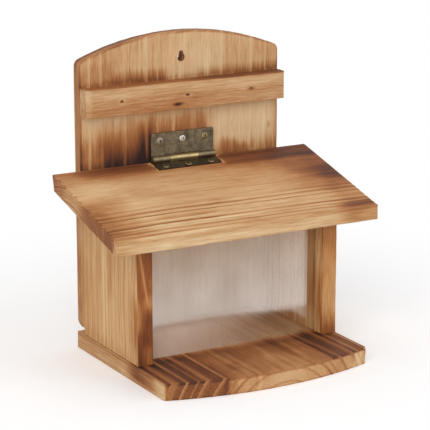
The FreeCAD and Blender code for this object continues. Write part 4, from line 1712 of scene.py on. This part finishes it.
@dataclass
class KeptNodes:
    """The CAD nodes that keep their own shapes, and what they are made of."""

    nails: Tuple[str, ...] = ("batten_nails", "left_wall_back_nails", "right_wall_back_nails",
                              "left_wall_base_nails", "right_wall_base_nails",
                              "back_board_base_nails")

    def dress(self) -> None:
        """Gives each node its finish."""
        finishes: Dict[str, bpy.types.Material] = {
            "hinge_wall_leaf": AgedBrass("aged_brass_wall_leaf", 0.25).material(),
            # The roof leaf's darker tone is painted shade under the knuckle and a painted
            # reflection of the dark board.
            "hinge_roof_leaf": AgedBrass("aged_brass_roof_leaf", 1.0, 0.24).material(),
            "hinge_pin": FastenerMetal("pin_steel", Metal.PIN).material(),
            "front_panel": ClearSheet().material(),
        }
        steel = FastenerMetal("nail_steel", Metal.NAIL).material()
        finishes.update((node, steel) for node in self.nails)
        for node, finish in finishes.items():
            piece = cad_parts[node]
            if not piece.material_slots:
                piece.data.materials.append(finish)
            for held in piece.material_slots:
                held.material = finish
            LOG.info("%s: dressed in %s", node, finish.name)


@dataclass
class HingeScrews:
    """Six countersunk screws with raised heads and crossed recesses."""

    sides: int = 48
    profile: Tuple[Tuple[float, float], ...] = (
        (0.05, -9.0), (1.1, -6.8), (1.1, -1.2), (2.36, -0.06), (2.4, 0.0), (2.28, 0.14),
        (1.95, 0.26), (1.45, 0.34), (0.9, 0.385), (0.35, 0.4))
    cross_length: float = 3.2
    cross_width: float = 1.1
    cross_depth: float = 1.4
    spacing: float = 18.0
    wall_rise: float = 12.7
    leaf_face: float = 1.4
    roof_run: float = 8.0
    turns: Tuple[float, ...] = (12.0, 47.0, 71.0, 33.0, 5.0, 62.0)
    crease: float = 30.0

    def model(self) -> bpy.types.Object:
        """Makes one screw, its head at the origin and its point down.

        Returns:
            The screw, in metres.
        """
        start_afresh()
        first_radius, first_height = self.profile[0]
        bpy.ops.mesh.primitive_circle_add(vertices=self.sides, radius=first_radius * MM,
                                          fill_type="NGON", location=(0, 0, first_height * MM))
        made = bpy.context.object
        bpy.ops.object.transform_apply(location=True, rotation=True, scale=True)
        bpy.ops.object.mode_set(mode="EDIT")
        bpy.ops.mesh.select_all(action="SELECT")
        radius, height = first_radius, first_height
        for new_radius, new_height in self.profile[1:]:
            lift = (0.0, 0.0, (new_height - height) * MM)
            bpy.ops.mesh.extrude_region_move(TRANSFORM_OT_translate={"value": lift})
            share = new_radius / radius
            bpy.ops.transform.resize(value=(share, share, 1.0),
                                     center_override=(0.0, 0.0, new_height * MM))
            radius, height = new_radius, new_height
        bpy.ops.mesh.select_all(action="SELECT")
        bpy.ops.mesh.normals_make_consistent(inside=False)
        bpy.ops.object.mode_set(mode="OBJECT")
        top = self.profile[-1][1]
        arms = ((self.cross_length, self.cross_width), (self.cross_width, self.cross_length))
        cut_away(made, [Cutter((0.0, 0.0, top), (arm[0], arm[1], 2.0 * self.cross_depth))
                        for arm in arms], "EXACT")
        return made

    def places(self) -> List[Tuple[str, str, Matrix]]:
        """Name, body and place of each screw.

        Returns:
            The upper three, then the lower three.
        """
        turn, tilt = Matrix.Rotation(math.pi / 2, 4, "X"), Matrix.Rotation(SLOPE, 4, "X")
        axis = Vector((0.0, PIN_Y, PIN_Z))
        upper, lower = [], []
        for number, x in enumerate((-self.spacing, 0.0, self.spacing), start=1):
            head = (axis + Vector((x, self.leaf_face, self.wall_rise))) * MM
            upper.append((f"wall_leaf_screw_{number}", "box", Matrix.Translation(head) @ turn))
            head = (axis + tilt @ Vector((x, -self.roof_run, -self.leaf_face))) * MM
            lower.append((f"roof_leaf_screw_{number}", "lid", Matrix.Translation(head) @ tilt))
        return upper + lower

    def build(self) -> None:
        """Makes the six screws in place of the two plain rows."""
        pattern = self.model()
        bronzed = FastenerMetal("screw_bronzed", Metal.BRONZED).material()
        finishes = {
            "wall_leaf_screw_1": FastenerMetal("screw_dulled", Metal.DULLED).material(),
            "wall_leaf_screw_2": FastenerMetal("screw_zinc", Metal.ZINC).material(),
        }
        for (name, body, place), turn in zip(self.places(), self.turns):
            screw = add_object(name, pattern.data.copy())
            screw.data.name = name
            screw.data.transform(place @ Matrix.Rotation(math.radians(turn), 4, "Z"))
            dress(screw, finishes.get(name, bronzed), self.crease)
            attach(screw, body)
            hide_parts("wall_leaf_screws" if body == "box" else "roof_leaf_screws")
            LOG.info("%s: %d faces", name, len(screw.data.polygons))
        bpy.data.objects.remove(pattern)


@dataclass(frozen=True)
class Softbox:
    """A soft square lamp that looks at the feeder, its place and size in metres."""

    name: str
    place: Triple
    size: float
    watts: float
    colour: Triple
    target: Triple = (0.0, 0.0, 0.1)

    def build(self) -> None:
        """Adds the lamp."""
        lamp = bpy.data.lights.new(self.name, "AREA")
        lamp.shape = "SQUARE"
        lamp.size = self.size
        lamp.energy = self.watts
        lamp.color = self.colour
        stand = add_object(self.name, lamp)
        stand.location = self.place
        aim = Vector(self.target) - Vector(self.place)
        stand.rotation_euler = aim.to_track_quat("-Z", "Y").to_euler()


@dataclass
class Studio:
    """Pale floor, soft lamps and a white surrounding."""

    floor_radius: float = 6.0
    fade_start: float = 160.0
    fade_end: float = 420.0
    ambient: float = 0.45
    floor_lift: float = 0.23
    paper: Tuple[Triple, Triple] = ((243, 243, 244), (247, 247, 248))
    paper_grain: float = 25.0
    lamps: Tuple[Softbox, ...] = (
        Softbox("key_softbox", (-1.15, -1.25, 1.15), 1.3, 15.0, (1.0, 0.985, 0.96)),
        Softbox("fill_softbox", (1.3, -1.2, 0.9), 1.2, 6.5, (0.97, 0.985, 1.0)),
        Softbox("top_softbox", (0.1, 0.2, 1.7), 1.2, 5.0, (1.0, 1.0, 1.0)),
    )

    def build_floor(self) -> None:
        """Makes the floor, a flat disc under the feeder."""
        start_afresh()
        bpy.ops.mesh.primitive_circle_add(vertices=128, radius=self.floor_radius,
                                          fill_type="NGON")
        floor = bpy.context.object
        floor.name = "studio_floor"
        floor.data.materials.append(self.floor_material())

    def floor_material(self) -> bpy.types.Material:
        """White paper that keeps the shadow near the feeder and fades to plain white.

        Returns:
            The material.
        """
        shader = Shader("studio_paper")
        x, y, _ = shader.millimetres()
        grain = shader.noise(x / self.paper_grain, y / self.paper_grain, 0.0, 3.0)
        paper = shader.ramp(grain, tuple(zip((0.0, 1.0), self.paper)))
        seen = shader.seen()
        away = smooth(root(x * x + y * y), self.fade_start, self.fade_end)
        matt = shader.node("BsdfDiffuse", {"Color": paper})
        lift = shader.node("Emission", {
            "Color": WHITE, "Strength": seen * self.floor_lift})
        lit = shader.node("AddShader", {0: matt.outputs[0], 1: lift.outputs[0]})
        white = shader.node("Emission", {"Color": WHITE, "Strength": 1.0})
        mixed = shader.node("MixShader", {
            0: away * seen, 1: lit.outputs[0], 2: white.outputs[0]})
        shader.node("OutputMaterial", {"Surface": mixed.outputs[0]})
        return shader.made

    def build_world(self) -> None:
        """Surrounds the set with soft light that looks plain white."""
        shader = Shader("studio_surround", surrounds=True)
        strength = self.ambient + shader.seen() * (1.0 - self.ambient)
        glow = shader.node("Background", {"Color": WHITE, "Strength": strength})
        shader.node("OutputWorld", {"Surface": glow.outputs[0]})
        bpy.context.scene.world = shader.made

    def build(self) -> None:
        """Sets up the floor, the surrounding and the lamps."""
        self.build_floor()
        self.build_world()
        for lamp in self.lamps:
            lamp.build()
        bpy.context.scene.view_settings.view_transform = "Standard"


@dataclass
class PictureCamera:
    """The camera at the photograph's viewing angle, in metres, degrees and millimetres of lens."""

    place: Triple = (-0.640, -1.119, 0.433)
    turn: float = 29.46
    dip: float = 14.37
    lens: float = 162.4
    sensor: float = 36.0
    far_end: float = 50.0

    def build(self) -> None:
        """Adds the camera and makes it the scene's."""
        eye = bpy.data.cameras.new("picture_camera")
        eye.lens = self.lens
        eye.sensor_width = self.sensor
        eye.clip_end = self.far_end
        stand = add_object("picture_camera", eye)
        stand.location = self.place
        stand.rotation_euler = (math.radians(90.0 - self.dip), 0.0, math.radians(-self.turn))
        bpy.context.scene.camera = stand


def main() -> None:
    """Builds the dressed feeder, its studio and its camera."""
    logging.basicConfig(level=logging.INFO, format="%(name)s: %(message)s")
    boards: List[Plank] = [
        BaseBoard(),
        BackBoard(),
        SideWall("left_side_wall", -1.0, 0.15),
        SideWall("right_side_wall", 1.0, 0.55),
        StopBatten(),
        RoofBoard(),
    ]
    for board in boards:
        board.build()
    HingeScrews().build()
    KeptNodes().dress()
    Studio().build()
    PictureCamera().build()


if __name__ == "__main__":
    main()
